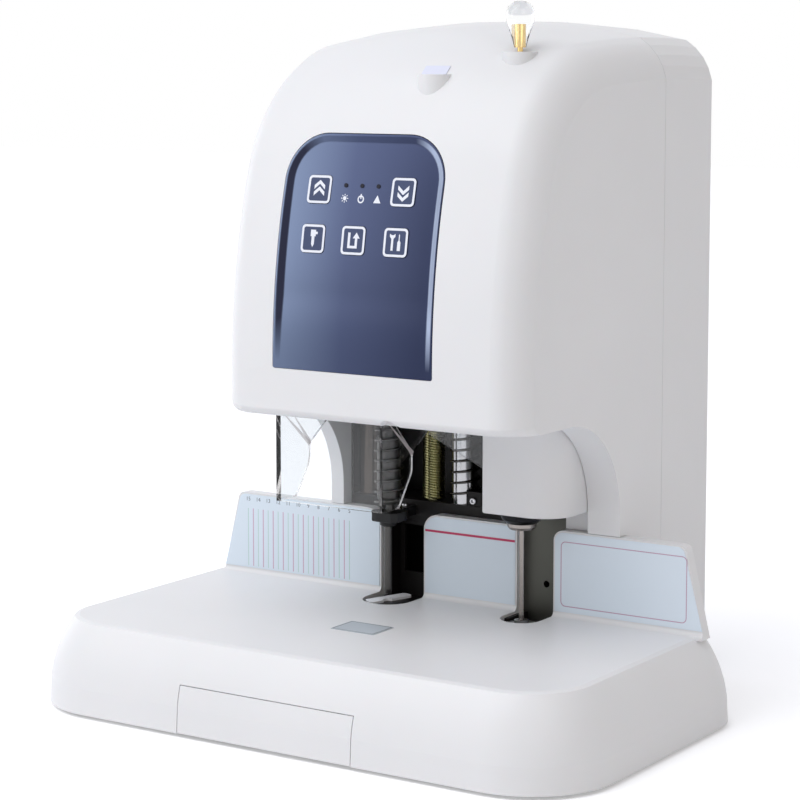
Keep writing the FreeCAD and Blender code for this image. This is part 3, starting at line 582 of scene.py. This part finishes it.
key_names = ("key_up", "key_down", "key_drill", "key_reset", "key_rivet")
points, faces = joined(key_opening(name) for name in key_names)
cutter_mesh = bpy.data.meshes.new("key_openings")
cutter_mesh.from_pydata([tuple(p) for p in points], [], faces)
cutter = new_object("key_openings", cutter_mesh)
turn_outwards(cutter)
panel_face.data.flip_normals()
thicken = panel_face.modifiers.new("thicken", "SOLIDIFY")
thicken.thickness = skin_thick
thicken.offset = -1
opened = panel_face.modifiers.new("opened", "BOOLEAN")
opened.operation = "DIFFERENCE"
opened.solver = "EXACT"
opened.object = cutter
bpy.context.view_layer.update()
cut_mesh = bpy.data.meshes.new_from_object(panel_face.evaluated_get(bpy.context.evaluated_depsgraph_get()))
panel_face.modifiers.clear()
panel_face.data = cut_mesh
cut_mesh.shade_smooth()
cut_mesh.set_sharp_from_angle(angle=math.radians(40))
bpy.data.objects.remove(cutter)

# ---- Keys and lamps ------------------------------------------------------------------------
# Five square keys stand in the panel, printed with a white frame and a plain white sign. Three
# dark lamp lenses sit between the upper two, each with a small printed sign under it.
key_gloss = plastic("key_gloss", (0.050, 0.066, 0.135, 1), (0.058, 0.076, 0.150, 1), 0.28, 900, 0.02, 0.15)
white_print = plastic("white_print", (0.74, 0.76, 0.84, 1), (0.80, 0.82, 0.88, 1), 0.45, 1500, 0.1)
key_print, sign_print = 0.00008, 0.00006


def plate_points(corners, place, thick):
    """Closed thin plate: a polygon of (u, v) corners, printed on a surface by place(u, v, height)."""
    count = len(corners)
    made = [place(u, v, thick) for u, v in corners] + [place(u, v, 0) for u, v in corners]
    sides = [tuple(range(count)), tuple(reversed(range(count, 2 * count)))]
    sides += [(i, i + count, (i + 1) % count + count, (i + 1) % count) for i in range(count)]
    return made, sides


def band_points(outer, inner, place, thick):
    """Closed thin band between two outlines with the same number of points."""
    count = len(outer)
    made = [place(u, v, h) for line, h in ((outer, thick), (inner, thick), (inner, 0), (outer, 0))
            for u, v in line]
    return made, ring_faces(count, 4, wrap=True)


def printed(name, shapes, material, body):
    """Several plates and bands as one printed piece."""
    points, faces = joined(shapes)
    return turn_outwards(add_piece(name, points, faces, material, body))


def rounded_square(wide, tall, radius, steps=5):
    line = []
    for cx, cy, turn in ((1, 1, 0), (-1, 1, 90), (-1, -1, 180), (1, -1, 270)):
        for i in range(steps + 1):
            a = math.radians(turn + 90 * i / steps)
            line.append((cx * (wide - radius) + radius * math.cos(a),
                         cy * (tall - radius) + radius * math.sin(a)))
    return line


def bar(x0, x1, y0, y1):
    return [(x0, y0), (x1, y0), (x1, y1), (x0, y1)]


def chevron(middle, turn):
    """Thick arrow head, pointing up for turn 1 and down for -1."""
    line = [(-4.6, -2.4), (0, 1.6), (4.6, -2.4), (4.6, 0.6), (0, 4.4), (-4.6, 0.6)]
    return [(x, middle + y * turn) for x, y in line]


key_signs = {
    "key_up": [chevron(2.4, 1), chevron(-2.4, 1)],
    "key_down": [chevron(2.4, -1), chevron(-2.4, -1)],
    "key_drill": [bar(-2.2, 2.2, 1.6, 6.4), [(-1.2, 1.6), (-1.2, -4.0), (0, -6.2), (1.2, -4.0), (1.2, 1.6)],
                  bar(2.2, 3.8, 3.2, 5.0)],
    "key_reset": [bar(-4.6, -2.6, -5.6, 5.6), bar(-2.6, 1.6, -5.6, -3.8),
                  [(1.6, -5.6), (3.6, -5.6), (3.6, 1.6), (5.6, 1.6), (2.6, 5.8), (-0.4, 1.6), (1.6, 1.6)]],
    "key_rivet": [bar(-3.7, -1.9, -5.8, 2.6),
                  [(-3.7, 2.6), (-5.1, 4.0), (-5.1, 6.2), (-3.7, 5.2), (-1.9, 5.2), (-0.5, 6.2),
                   (-0.5, 4.0), (-1.9, 2.6)],
                  [(1.6, -5.8), (4.2, -5.8), (4.2, 0.4), (3.3, 1.6), (3.3, 5.4), (2.9, 6.2), (2.5, 5.4),
                   (2.5, 1.6), (1.6, 0.4)]],
}
for name, signs in key_signs.items():
    block = dress(name, key_gloss)
    front = key_front(block.data)
    outward = front.normal.copy()
    low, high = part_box(name)
    middle = (low + high) / 2
    middle -= outward * outward.dot(middle - front.center)
    rise = outward.cross(Vector((1, 0, 0))) * -1
    if rise.z < 0:
        rise = -rise

    def on_key(u, v, height):
        return middle + Vector((u, 0, 0)) * 0.001 + rise * v * 0.001 + outward * height

    frame_outer, frame_inner = rounded_square(10.0, 10.2, 3.0), rounded_square(8.3, 8.5, 1.6)
    shapes = [band_points(frame_outer, frame_inner, on_key, key_print)]
    shapes += [plate_points(sign, on_key, key_print) for sign in signs]
    printed(name + "_print", shapes, white_print, name)

lamp_dark = plastic("lamp_dark", (0.004, 0.004, 0.012, 1), (0.008, 0.008, 0.020, 1), 0.1, 900, 0.02, 0.15)
dress("lamp_lenses", lamp_dark)
lamp_low, lamp_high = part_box("lamp_lenses")
lamp_z = (lamp_low.z + lamp_high.z) / 2
lamp_x = [lamp_low.x + 0.0016, (lamp_low.x + lamp_high.x) / 2, lamp_high.x - 0.0016]
sign_drop = 0.0092


def on_field(x, z, height):
    return skin_point(x, z, sink(z, field_depth)) + Vector((0, -height, height * 0.24))


def ring_line(x, z, radius, count=20):
    turns = [2 * math.pi * i / count for i in range(count)]
    return [(x + radius * math.cos(turn), z + radius * math.sin(turn)) for turn in turns]


sign_z, ray_count = lamp_z - sign_drop, 8
sun_x, ring_x, triangle_x = lamp_x
signs = [plate_points(ring_line(sun_x, sign_z, 0.0015), on_field, sign_print)]
for i in range(ray_count):
    turn = 2 * math.pi * i / ray_count
    ray = Vector((math.cos(turn), math.sin(turn)))
    beside = Vector((-ray.y, ray.x)) * 0.0003
    near, far = Vector((sun_x, sign_z)) + ray * 0.0020, Vector((sun_x, sign_z)) + ray * 0.0031
    corners = [tuple(p) for p in (near - beside, far - beside, far + beside, near + beside)]
    signs.append(plate_points(corners, on_field, sign_print))
ring_z = sign_z - 0.0003
signs.append(band_points(ring_line(ring_x, ring_z, 0.0028), ring_line(ring_x, ring_z, 0.0018), on_field,
                         sign_print))
stem = bar(ring_x - 0.0005, ring_x + 0.0005, sign_z, sign_z + 0.0034)
signs.append(plate_points(stem, on_field, 0.00010))
signs.append(plate_points([(triangle_x - 0.0031, sign_z - 0.0026), (triangle_x + 0.0031, sign_z - 0.0026),
                           (triangle_x, sign_z + 0.0030)], on_field, sign_print))
printed("lamp_signs", signs, white_print, "housing")

# ---- Fence sheets --------------------------------------------------------------------------
# Thin pale blue polyester sheets are stuck on the three fence plates. The left one is printed
# with a scale of plain numbers over fine lines, the others with a level line and a frame.
sheet_paint = plastic("fence_sheet", (0.705, 0.795, 0.88, 1), (0.725, 0.81, 0.895, 1), 0.3, 700, 0.03)
dress("fence_sheets", sheet_paint)
sheet_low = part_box("fence_sheets")[0]
scale_right, scale_step, scale_count, first_number = -0.0875, 0.010, 11, 5
line_low, line_high = sheet_low.z + 0.0015, sheet_low.z + 0.049
number_z, number_size = 0.1288, 0.0046
print_thick = 0.00005


def on_fence(x, z, height):
    return Vector((x, sheet_low.y - height, z))


def ink(name, colour, roughness=0.4):
    dark = tuple(c * 0.93 for c in colour) + (1,)
    return plastic(name, dark, tuple(colour) + (1,), roughness, 1500, 0.05)


green_ink = ink("green_ink", (0.47, 0.68, 0.63))
magenta_ink = ink("magenta_ink", (0.60, 0.33, 0.50))
red_ink = ink("red_ink", (0.52, 0.02, 0.10))
mauve_ink = ink("mauve_ink", (0.52, 0.33, 0.46))
grey_ink = ink("grey_ink", (0.10, 0.12, 0.15))
scale_x = [scale_right - scale_step * i for i in range(scale_count)]
printed("scale_green_lines",
        [plate_points(bar(x - 0.0003, x + 0.0003, line_low, line_high), on_fence, print_thick)
         for x in scale_x], green_ink, "housing")
printed("scale_magenta_lines",
        [plate_points(bar(x - 0.00535, x - 0.00465, line_low, line_high), on_fence, print_thick)
         for x in scale_x[:-1]], magenta_ink, "housing")
numbers = bmesh.new()
for i, x in enumerate(scale_x):
    line = bpy.data.curves.new("number", "FONT")
    line.body = str(first_number + i)
    line.align_x, line.align_y = "CENTER", "CENTER"
    line.size = number_size
    line.resolution_u = 2
    line.extrude = print_thick / 2
    text = bpy.data.objects.new("number", line)
    glyphs = bpy.data.meshes.new_from_object(text)
    for vertex in glyphs.vertices:
        u, v, h = vertex.co
        vertex.co = (x + u, sheet_low.y - print_thick / 2 - h, number_z + v)
    numbers.from_mesh(glyphs)
    bpy.data.objects.remove(text)
    bpy.data.meshes.remove(glyphs)
number_mesh = bpy.data.meshes.new("scale_numbers")
numbers.to_mesh(number_mesh)
numbers.free()
number_mesh.materials.append(grey_ink)
scale_numbers = new_object("scale_numbers", number_mesh)
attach(scale_numbers, "housing")

level_left, level_right, level_z, level_half = -0.0160, 0.0650, 0.1215, 0.0009
level_bar = bar(level_left, level_right, level_z - level_half, level_z + level_half)
printed("level_line", [plate_points(level_bar, on_fence, print_thick)], red_ink, "housing")


def frame_line(inset):
    left, right = 0.1050 + inset, 0.2105 - inset
    low, high = 0.0765 + inset, 0.1262 - inset
    return [(x + (left + right) / 2, z + (low + high) / 2) for x, z in
            rounded_square((right - left) / 2, (high - low) / 2, 0.004 - inset)]


printed("sheet_frame", [band_points(frame_line(0), frame_line(0.0007), on_fence, print_thick)], mauve_ink,
        "housing")

# ---- Black steel frame ---------------------------------------------------------------------
# Bed, cheeks, channel, back plate, beam and top plate are steel with a satin black finish; the
# cutting pad, the inlet and the switch are black plastic.
black_steel, tree, shader = new_finish("black_steel", {"Roughness": 0.45, "Specular IOR Level": 0.22})
blotched(tree, shader, add_grain(tree, shader, 1500, 0.15), (0.008, 0.007, 0.007, 1),
         (0.016, 0.014, 0.014, 1))
for name in ("bed_plate", "frame_back", "frame_cheeks", "cross_beam", "drill_channel", "top_plate"):
    dress(name, black_steel)
black_plastic = plastic("black_plastic", (0.008, 0.008, 0.009, 1), (0.014, 0.014, 0.015, 1), 0.35, 1800,
                        0.15, 0.25)
for name in ("power_inlet", "rocker_switch", "cutter_pad"):
    dress(name, black_plastic)


# ---- Ground and plated steel ---------------------------------------------------------------
# The anvil is ground bright and the ram is chromed; the column is dark steel, and the dark colour of
# spindle, chuck and bit is painted shade of the throat.
# The carriage is a casting on bronze bushes, motors and heater are anodised, the floor is galvanised.
def metal(name, dark, light, roughness, fineness, depth):
    material, tree, shader = new_finish(name, {"Metallic": 1.0, "Roughness": roughness})
    blotched(tree, shader, add_grain(tree, shader, fineness, depth), dark, light)
    return material


steel = metal("ground_steel", (0.40, 0.40, 0.41, 1), (0.52, 0.52, 0.53, 1), 0.3, 1200, 0.15)
column_steel = metal("column_steel", (0.085, 0.085, 0.075, 1), (0.120, 0.120, 0.108, 1), 0.42, 1400, 0.2)
chrome = metal("chrome", (0.66, 0.66, 0.68, 1), (0.74, 0.74, 0.75, 1), 0.12, 700, 0.03)
cast = metal("cast_iron", (0.06, 0.06, 0.065, 1), (0.10, 0.10, 0.105, 1), 0.5, 900, 0.5)
bronze = metal("bush_bronze", (0.50, 0.34, 0.15, 1), (0.60, 0.42, 0.20, 1), 0.4, 1100, 0.2)
anodised = metal("dark_anodised", (0.018, 0.018, 0.020, 1), (0.03, 0.03, 0.033, 1), 0.35, 1500, 0.1)
galvanised = metal("galvanised", (0.42, 0.43, 0.44, 1), (0.58, 0.59, 0.60, 1), 0.42, 160, 0.1)
brass = metal("brass", (0.72, 0.50, 0.20, 1), (0.80, 0.60, 0.28, 1), 0.2, 900, 0.05)
dress("rivet_column", column_steel)
# Spindle, chuck and bit: their dark steel colour is painted shade of the throat.
dark_steel = metal("throat_shade_steel", (0.070, 0.068, 0.066, 1), (0.110, 0.106, 0.102, 1), 0.34, 1200, 0.12)
pin_steel = metal("pin_steel", (0.26, 0.235, 0.22, 1), (0.34, 0.31, 0.29, 1), 0.25, 1200, 0.08)
for name in ("drill_spindle", "drill_chuck", "drill_bit"):
    dress(name, dark_steel)
dress("rivet_anvil", steel)
dress("pad_clamp", plastic("bright_plating", (0.80, 0.80, 0.82, 1), (0.88, 0.88, 0.90, 1), 0.3, 900, 0.05))
dress("ram_rod", chrome)
for name in ("guide_pin", "rivet_tip"):
    dress(name, pin_steel)

# The posts are chromed. Their colour is set darker by position towards the left one, which stands
# in the shade of the head.
post_chrome, tree, shader = new_finish("post_chrome", {"Metallic": 1.0, "Roughness": 0.16})
add_grain(tree, shader, 700, 0.03)
post_colour = tree.nodes.new("ShaderNodeValToRGB")
post_colour.color_ramp.elements[0].color = (0.055, 0.045, 0.038, 1)
post_colour.color_ramp.elements[1].color = (0.44, 0.44, 0.45, 1)
tree.links.new(across(tree, -0.050, -0.010), post_colour.inputs["Fac"])
tree.links.new(post_colour.outputs["Color"], shader.inputs["Base Color"])
dress("guide_posts", post_chrome)
dress("press_carriage", cast)
dress("carriage_bushes", bronze)
for name in ("drill_motor", "press_motor", "heater_block", "screw_coupling"):
    dress(name, anodised)
for name in ("base_plate", "drawer_rails", "power_supply"):
    dress(name, galvanised)
dress("cleaning_pin", brass)
dress("post_clamp", black_steel)

# ---- Lead screw ----------------------------------------------------------------------------
# Four-start trapezoidal screw of 2 mm pitch in yellow-passivated steel, running in the nut of
# the carriage. Its plain ends turn in the beam and in the top plate.
screw_steel = metal("passivated_steel", (0.40, 0.38, 0.20, 1), (0.52, 0.49, 0.28, 1), 0.28, 900, 0.05)
screw_low, screw_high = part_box("lead_screw")
screw_x, screw_y = (screw_low.x + screw_high.x) / 2, (screw_low.y + screw_high.y) / 2
screw_radius = (screw_high.x - screw_low.x) / 2
thread_low, thread_high = screw_low.z + 0.0105, 0.368
thread_pitch, thread_lead, thread_deep = 0.002, 0.008, 0.0010
lower_neck, upper_neck = 0.0049, 0.0059
around, row_step = 36, 0.0004


def thread_radius(turn, z):
    """Trapezoidal section: flat crests and roots joined by straight flanks."""
    share = (z / thread_pitch + thread_lead / thread_pitch * turn) % 1.0
    fullness = min(1.0, max(0.0, 1.5 - abs(share - 0.5) * 5))
    return screw_radius - thread_deep * (1 - fullness)


levels = [(screw_low.z, lower_neck), (thread_low, lower_neck)]
levels += [(thread_low + row_step * i, None) for i in range(1, int((thread_high - thread_low) / row_step))]
levels += [(thread_high, upper_neck), (screw_high.z, upper_neck)]
points = []
for z, radius in levels:
    for i in range(around):
        turn = i / around
        out = radius or thread_radius(turn, z)
        points.append(Vector((screw_x + out * math.cos(2 * math.pi * turn),
                              screw_y + out * math.sin(2 * math.pi * turn), z)))
faces = [tuple(reversed(range(around))), tuple(range(len(points) - around, len(points)))]
faces += ring_faces(around, len(levels))
thread = add_piece("screw_thread", points, faces, screw_steel, "lead_screw", 50)
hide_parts("lead_screw")

# ---- Springs -------------------------------------------------------------------------------
# Round spring wire; its dark steel colour is painted shade of the throat.
spring_wire = metal("spring_wire", (0.10, 0.095, 0.09, 1), (0.16, 0.15, 0.145, 1), 0.25, 900, 0.05)


def spring(name, node_name, pitch, wire=0.0018, per_turn=28, sides=10):
    low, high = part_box(node_name)
    middle = (low + high) / 2
    radius = (high.x - low.x) / 2 - wire / 2
    start, end = low.z + wire / 2, high.z - wire / 2
    turns = (end - start) / pitch
    steps = int(turns * per_turn)
    points = []
    for i in range(steps + 1):
        turn = 2 * math.pi * turns * i / steps
        out = Vector((math.cos(turn), math.sin(turn), 0))
        core = Vector((middle.x, middle.y, start + pitch * turns * i / steps)) + out * radius
        for j in range(sides):
            bend = 2 * math.pi * j / sides
            level = Vector((0, 0, math.sin(bend) * wire / 2))
            points.append(core + out * math.cos(bend) * wire / 2 + level)
    faces = ring_faces(sides, steps + 1)
    faces.append(tuple(reversed(range(sides))))
    faces.append(tuple(range(steps * sides, (steps + 1) * sides)))
    obj = smooth_piece(name, points, faces, spring_wire, 50)
    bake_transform(obj)
    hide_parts(node_name)


spring("post_coil", "post_spring", 0.0085)
spring("drill_coil", "drill_spring", 0.0080)

# ---- Screws --------------------------------------------------------------------------------
# A socket screw clamps the post and pan-head cross screws hold the steel floor. Plated steel, each
# head turned with its recess.
screw_plating = metal("screw_plating", (0.52, 0.52, 0.54, 1), (0.64, 0.64, 0.66, 1), 0.25, 1100, 0.05)


def recess_edge(kind, size, turn):
    """Radius of the drive recess at an angle."""
    if kind == "hex":
        off = (turn + math.pi / 6) % (math.pi / 3) - math.pi / 6
        return size / math.cos(off)
    off = abs((turn + math.pi / 4) % (math.pi / 2) - math.pi / 4)
    return min(size / math.cos(off), 0.28 * size / max(math.sin(off), 0.01))


def screw_heads(name, places, outward, radius, height, kind):
    """Heads on one flat face, joined as one piece; outward is the way that they point."""
    outward = Vector(outward)
    side = outward.orthogonal().normalized()
    up = outward.cross(side)
    count = 48
    deep = height * 0.6
    rings = [(lambda a: radius, 0), (lambda a: radius, height * 0.55),
             (lambda a: radius * 0.93, height * 0.85), (lambda a: radius * 0.78, height),
             (lambda a: recess_edge(kind, radius * 0.5, a), height),
             (lambda a: recess_edge(kind, radius * 0.5, a), height - deep)]
    points, faces = [], []
    for place in places:
        start = len(points)
        for width, level in rings:
            for i in range(count):
                a = 2 * math.pi * i / count
                away = (side * math.cos(a) + up * math.sin(a)) * width(a)
                points.append(Vector(place) + outward * level + away)
        faces += ring_faces(count, len(rings), start)
        faces.append(tuple(reversed(range(start, start + count))))
        faces.append(tuple(range(len(points) - count, len(points))))
    return add_piece(name, points, faces, screw_plating, "housing", 30)


clamp_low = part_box("post_clamp")[0]
screw_heads("clamp_screw", [(0.0208, clamp_low.y, 0.1462)], (0, -1, 0), 0.0028, 0.0026, "hex")
floor_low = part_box("base_plate")[0]
floor_screws = [(x, y, floor_low.z) for x in (-0.150, 0.150) for y in (-0.150, 0.055)]
floor_screws += [(-0.092, 0.085, floor_low.z), (0.142, 0.085, floor_low.z), (0.030, 0.165, floor_low.z)]
screw_heads("floor_screws", floor_screws, (0, 0, -1), 0.0042, 0.0022, "cross")

# ---- Drill guide ---------------------------------------------------------------------------
# Slim black plastic guide that steadies the bit: a flat block with a collar under it, on an arm
# that is screwed to the beam behind.
guide_x, guide_y, guide_low, guide_high = -0.0375, 0.0225, 0.1300, 0.1380
bore, soft_edge = 0.0034, 0.0006
guide_corners = [(6, 30.7), (-6, 30.7), (-6, 13.5), (-9.5, 10), (-9.5, 3), (-12, -4), (-9, -9.5),
                 (-4, -10.5), (9, -10.5), (13, -7), (13, 6), (9.5, 13.5), (6, 13.5)]
outline = []
for a, b in zip(guide_corners, guide_corners[1:] + guide_corners[:1]):
    a, b = Vector(a) * 0.001, Vector(b) * 0.001
    parts = max(1, round((b - a).length / 0.002))
    outline += [a + (b - a) * i / parts for i in range(parts)]
collar = [(bore, guide_low - 0.004), (0.0058, guide_low - 0.004), (0.0065, guide_low - 0.0033),
          (0.0065, guide_low + 0.0002), (bore, guide_low + 0.0002)]
plate_rows = [([p.normalized() * bore for p in outline], guide_low),
              ([p - p.normalized() * soft_edge for p in outline], guide_low),
              (outline, guide_low + soft_edge), (outline, guide_high - soft_edge),
              ([p - p.normalized() * soft_edge for p in outline], guide_high),
              ([p.normalized() * bore for p in outline], guide_high)]
collar_rows = [([p.normalized() * radius for p in outline], z) for radius, z in collar]
points, faces = [], []
for rows in (plate_rows, collar_rows):
    faces += ring_faces(len(outline), len(rows), len(points), wrap=True)
    points += [Vector((guide_x + p.x, guide_y + p.y, z)) for line, z in rows for p in line]
slim_guide = add_piece("slim_guide", points, faces, black_plastic, "housing", 35)
turn_outwards(slim_guide)
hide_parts("drill_guide")
screw_heads("guide_screw", [(guide_x, 0.0460, guide_high)], (0, 0, 1), 0.0026, 0.0018, "hex")

# ---- Clear guards --------------------------------------------------------------------------
# Two sheets of clear acrylic, 3 mm thick: a guard before the drill and a slanting one between the
# stations. Their sawn edges are polished; their pale pink colour is a painted highlight for the light that
# they catch.
acrylic_tint, acrylic_ior = (0.93, 0.95, 0.96, 1), 1.45
acrylic, tree, shader = new_finish("clear_acrylic", {
    "Base Color": acrylic_tint, "Roughness": 0.03, "IOR": acrylic_ior, "Transmission Weight": 1.0})
add_grain(tree, shader, 120, 0.01)
ghost = tree.nodes.new("ShaderNodeBsdfTransparent")
ghost.inputs["Color"].default_value = acrylic_tint
rays = tree.nodes.new("ShaderNodeLightPath")
mixed = tree.nodes.new("ShaderNodeMixShader")
tree.links.new(rays.outputs["Is Shadow Ray"], mixed.inputs["Fac"])
tree.links.new(shader.outputs[0], mixed.inputs[1])
tree.links.new(ghost.outputs[0], mixed.inputs[2])
tree.links.new(mixed.outputs[0], tree.nodes["Material Output"].inputs["Surface"])
# The edges' pale pink colour is a painted highlight for the light that the sheets' edges catch.
edge_painted_highlight, tree, shader = new_finish("edge_painted_highlight", {
    "Roughness": 0.45, "Transmission Weight": 0.6, "IOR": acrylic_ior})
blotched(tree, shader, add_grain(tree, shader, 700, 0.1), (0.78, 0.72, 0.72, 1), (0.86, 0.80, 0.79, 1))
edge_width, edge_area, edge_tilt = 0.0032, 0.00016, 0.7
sheet = dress("clear_guard", acrylic)
sheet.data.materials.append(edge_painted_highlight)
for face in sheet.data.polygons:
    corners = [sheet.data.vertices[i].co for i in face.vertices]
    shortest = min((corners[i] - corners[i - 1]).length for i in range(len(corners)))
    thin = shortest < edge_width and face.area < edge_area and abs(face.normal.z) < edge_tilt
    face.material_index = 1 if thin else 0

# The slanting sheet runs from the drill's guard to the cover's left wall.
sheet_start = Vector((0.0122, 0.0030, 0))
sheet_run = Vector((0.0322, 0.0200, 0))
sheet_along = sheet_run.normalized()
sheet_back = Vector((-sheet_along.y, sheet_along.x, 0)) * 0.003
sheet_top, sheet_low_left, sheet_slope = 0.2260, 0.2040, 0.024 / sheet_run.length
points = []
for start in (sheet_start, sheet_start + sheet_back):
    reach = (cover_left - 0.0001 - start.x) / sheet_along.x
    end = start + sheet_along * reach
    for at, low in ((start, sheet_low_left), (end, sheet_low_left - sheet_slope * reach)):
        points.append(Vector((at.x, at.y, low)))
        points.append(Vector((at.x, at.y, sheet_top)))
faces = [(0, 2, 3, 1), (4, 5, 7, 6), (0, 4, 6, 2), (0, 1, 5, 4), (2, 6, 7, 3), (1, 3, 7, 5)]
slant = add_piece("slanting_sheet", points, faces, acrylic, "housing")
slant.data.materials.append(edge_painted_highlight)
for face in slant.data.polygons[2:5]:
    face.material_index = 1
turn_outwards(slant)
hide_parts("clear_skirt")
glass, tree, shader = new_finish("clear_glass", {
    "Base Color": (0.97, 0.98, 0.98, 1), "Roughness": 0.02, "IOR": 1.49, "Transmission Weight": 1.0})
add_grain(tree, shader, 240, 0.02)

# The cleaning pin's grip is a clear bulb moulded round the pin's brass core.
grip_low, grip_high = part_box("pin_grip")
pin_x, pin_y = (grip_low.x + grip_high.x) / 2, (grip_low.y + grip_high.y) / 2
bulb = [(4.4, 494), (5.0, 497), (5.8, 500), (7.2, 504.5), (8.7, 508.5), (9.8, 512), (10.2, 515),
        (10.2, 517), (9.8, 520), (8.6, 523), (6.9, 525.2), (4.8, 526.4), (2.5, 526.9)]
shape = [(4.2, 494)] + bulb
inner = [(4.2, 511)]
around = 48
points = [Vector((pin_x + r * 0.001 * math.cos(2 * math.pi * i / around),
                  pin_y + r * 0.001 * math.sin(2 * math.pi * i / around), z * 0.001))
          for r, z in shape + inner for i in range(around)]
points += [Vector((pin_x, pin_y, 0.5270)), Vector((pin_x, pin_y, 0.5110))]
crown_point, bore_point = len(points) - 2, len(points) - 1
count = len(shape)
faces = ring_faces(around, count)
for i in range(around):
    j = (i + 1) % around
    faces.append(((count - 1) * around + i, (count - 1) * around + j, crown_point))
    faces.append((count * around + i, bore_point, count * around + j))
    faces.append((j, i, count * around + i, count * around + j))
bulb_grip = add_piece("bulb_grip", points, faces, glass, "cleaning_pin", 40)
turn_outwards(bulb_grip)
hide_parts("pin_grip")

# ---- Plates, boards, rubber ----------------------------------------------------------------
# Blank plates are stuck on the table and on the crown's front cap. Green circuit boards sit
# behind the keys and in the neck, and four rubber feet carry the base.
plate_paint = plastic("grey_plate", (0.42, 0.46, 0.50, 1), (0.50, 0.54, 0.58, 1), 0.32, 800, 0.05)
dress("table_plate", plate_paint)
label_low, label_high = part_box("table_plate")


def on_table(u, v, height):
    return Vector((u, v, label_high.z + height))


plate_edge = plastic("plate_edge", (0.13, 0.15, 0.17, 1), (0.18, 0.20, 0.22, 1), 0.35, 800, 0.05)
middle = (label_low + label_high) / 2
wide, tall = (label_high.x - label_low.x) / 2, (label_high.y - label_low.y) / 2


def plate_line(inset):
    return [(middle.x + u, middle.y + v) for u, v in rounded_square(wide - inset, tall - inset, 0.001)]


border = band_points(plate_line(0.0008), plate_line(0.0017), on_table, print_thick)
printed("plate_border", [border], plate_edge, "housing")

cap_x, cap_z = 0.053, 0.4775
sticker_paint = plastic("cap_sticker", (0.66, 0.68, 0.82, 1), (0.74, 0.76, 0.87, 1), 0.35, 900, 0.05)


def on_crown(u, v, height):
    return skin_point(cap_x + u, cap_z + v, -height)


sticker = plate_points(rounded_square(0.0100, 0.0036, 0.0010), on_crown, 0.0002)
printed("cap_sticker", [sticker], sticker_paint, "housing")
board_green = plastic("board_green", (0.01, 0.08, 0.03, 1), (0.02, 0.12, 0.05, 1), 0.35, 300, 0.2)
for name in ("panel_board", "control_board"):
    dress(name, board_green)
rubber = plastic("rubber", (0.010, 0.010, 0.010, 1), (0.018, 0.018, 0.018, 1), 0.8, 1200, 0.5)
dress("rubber_feet", rubber)
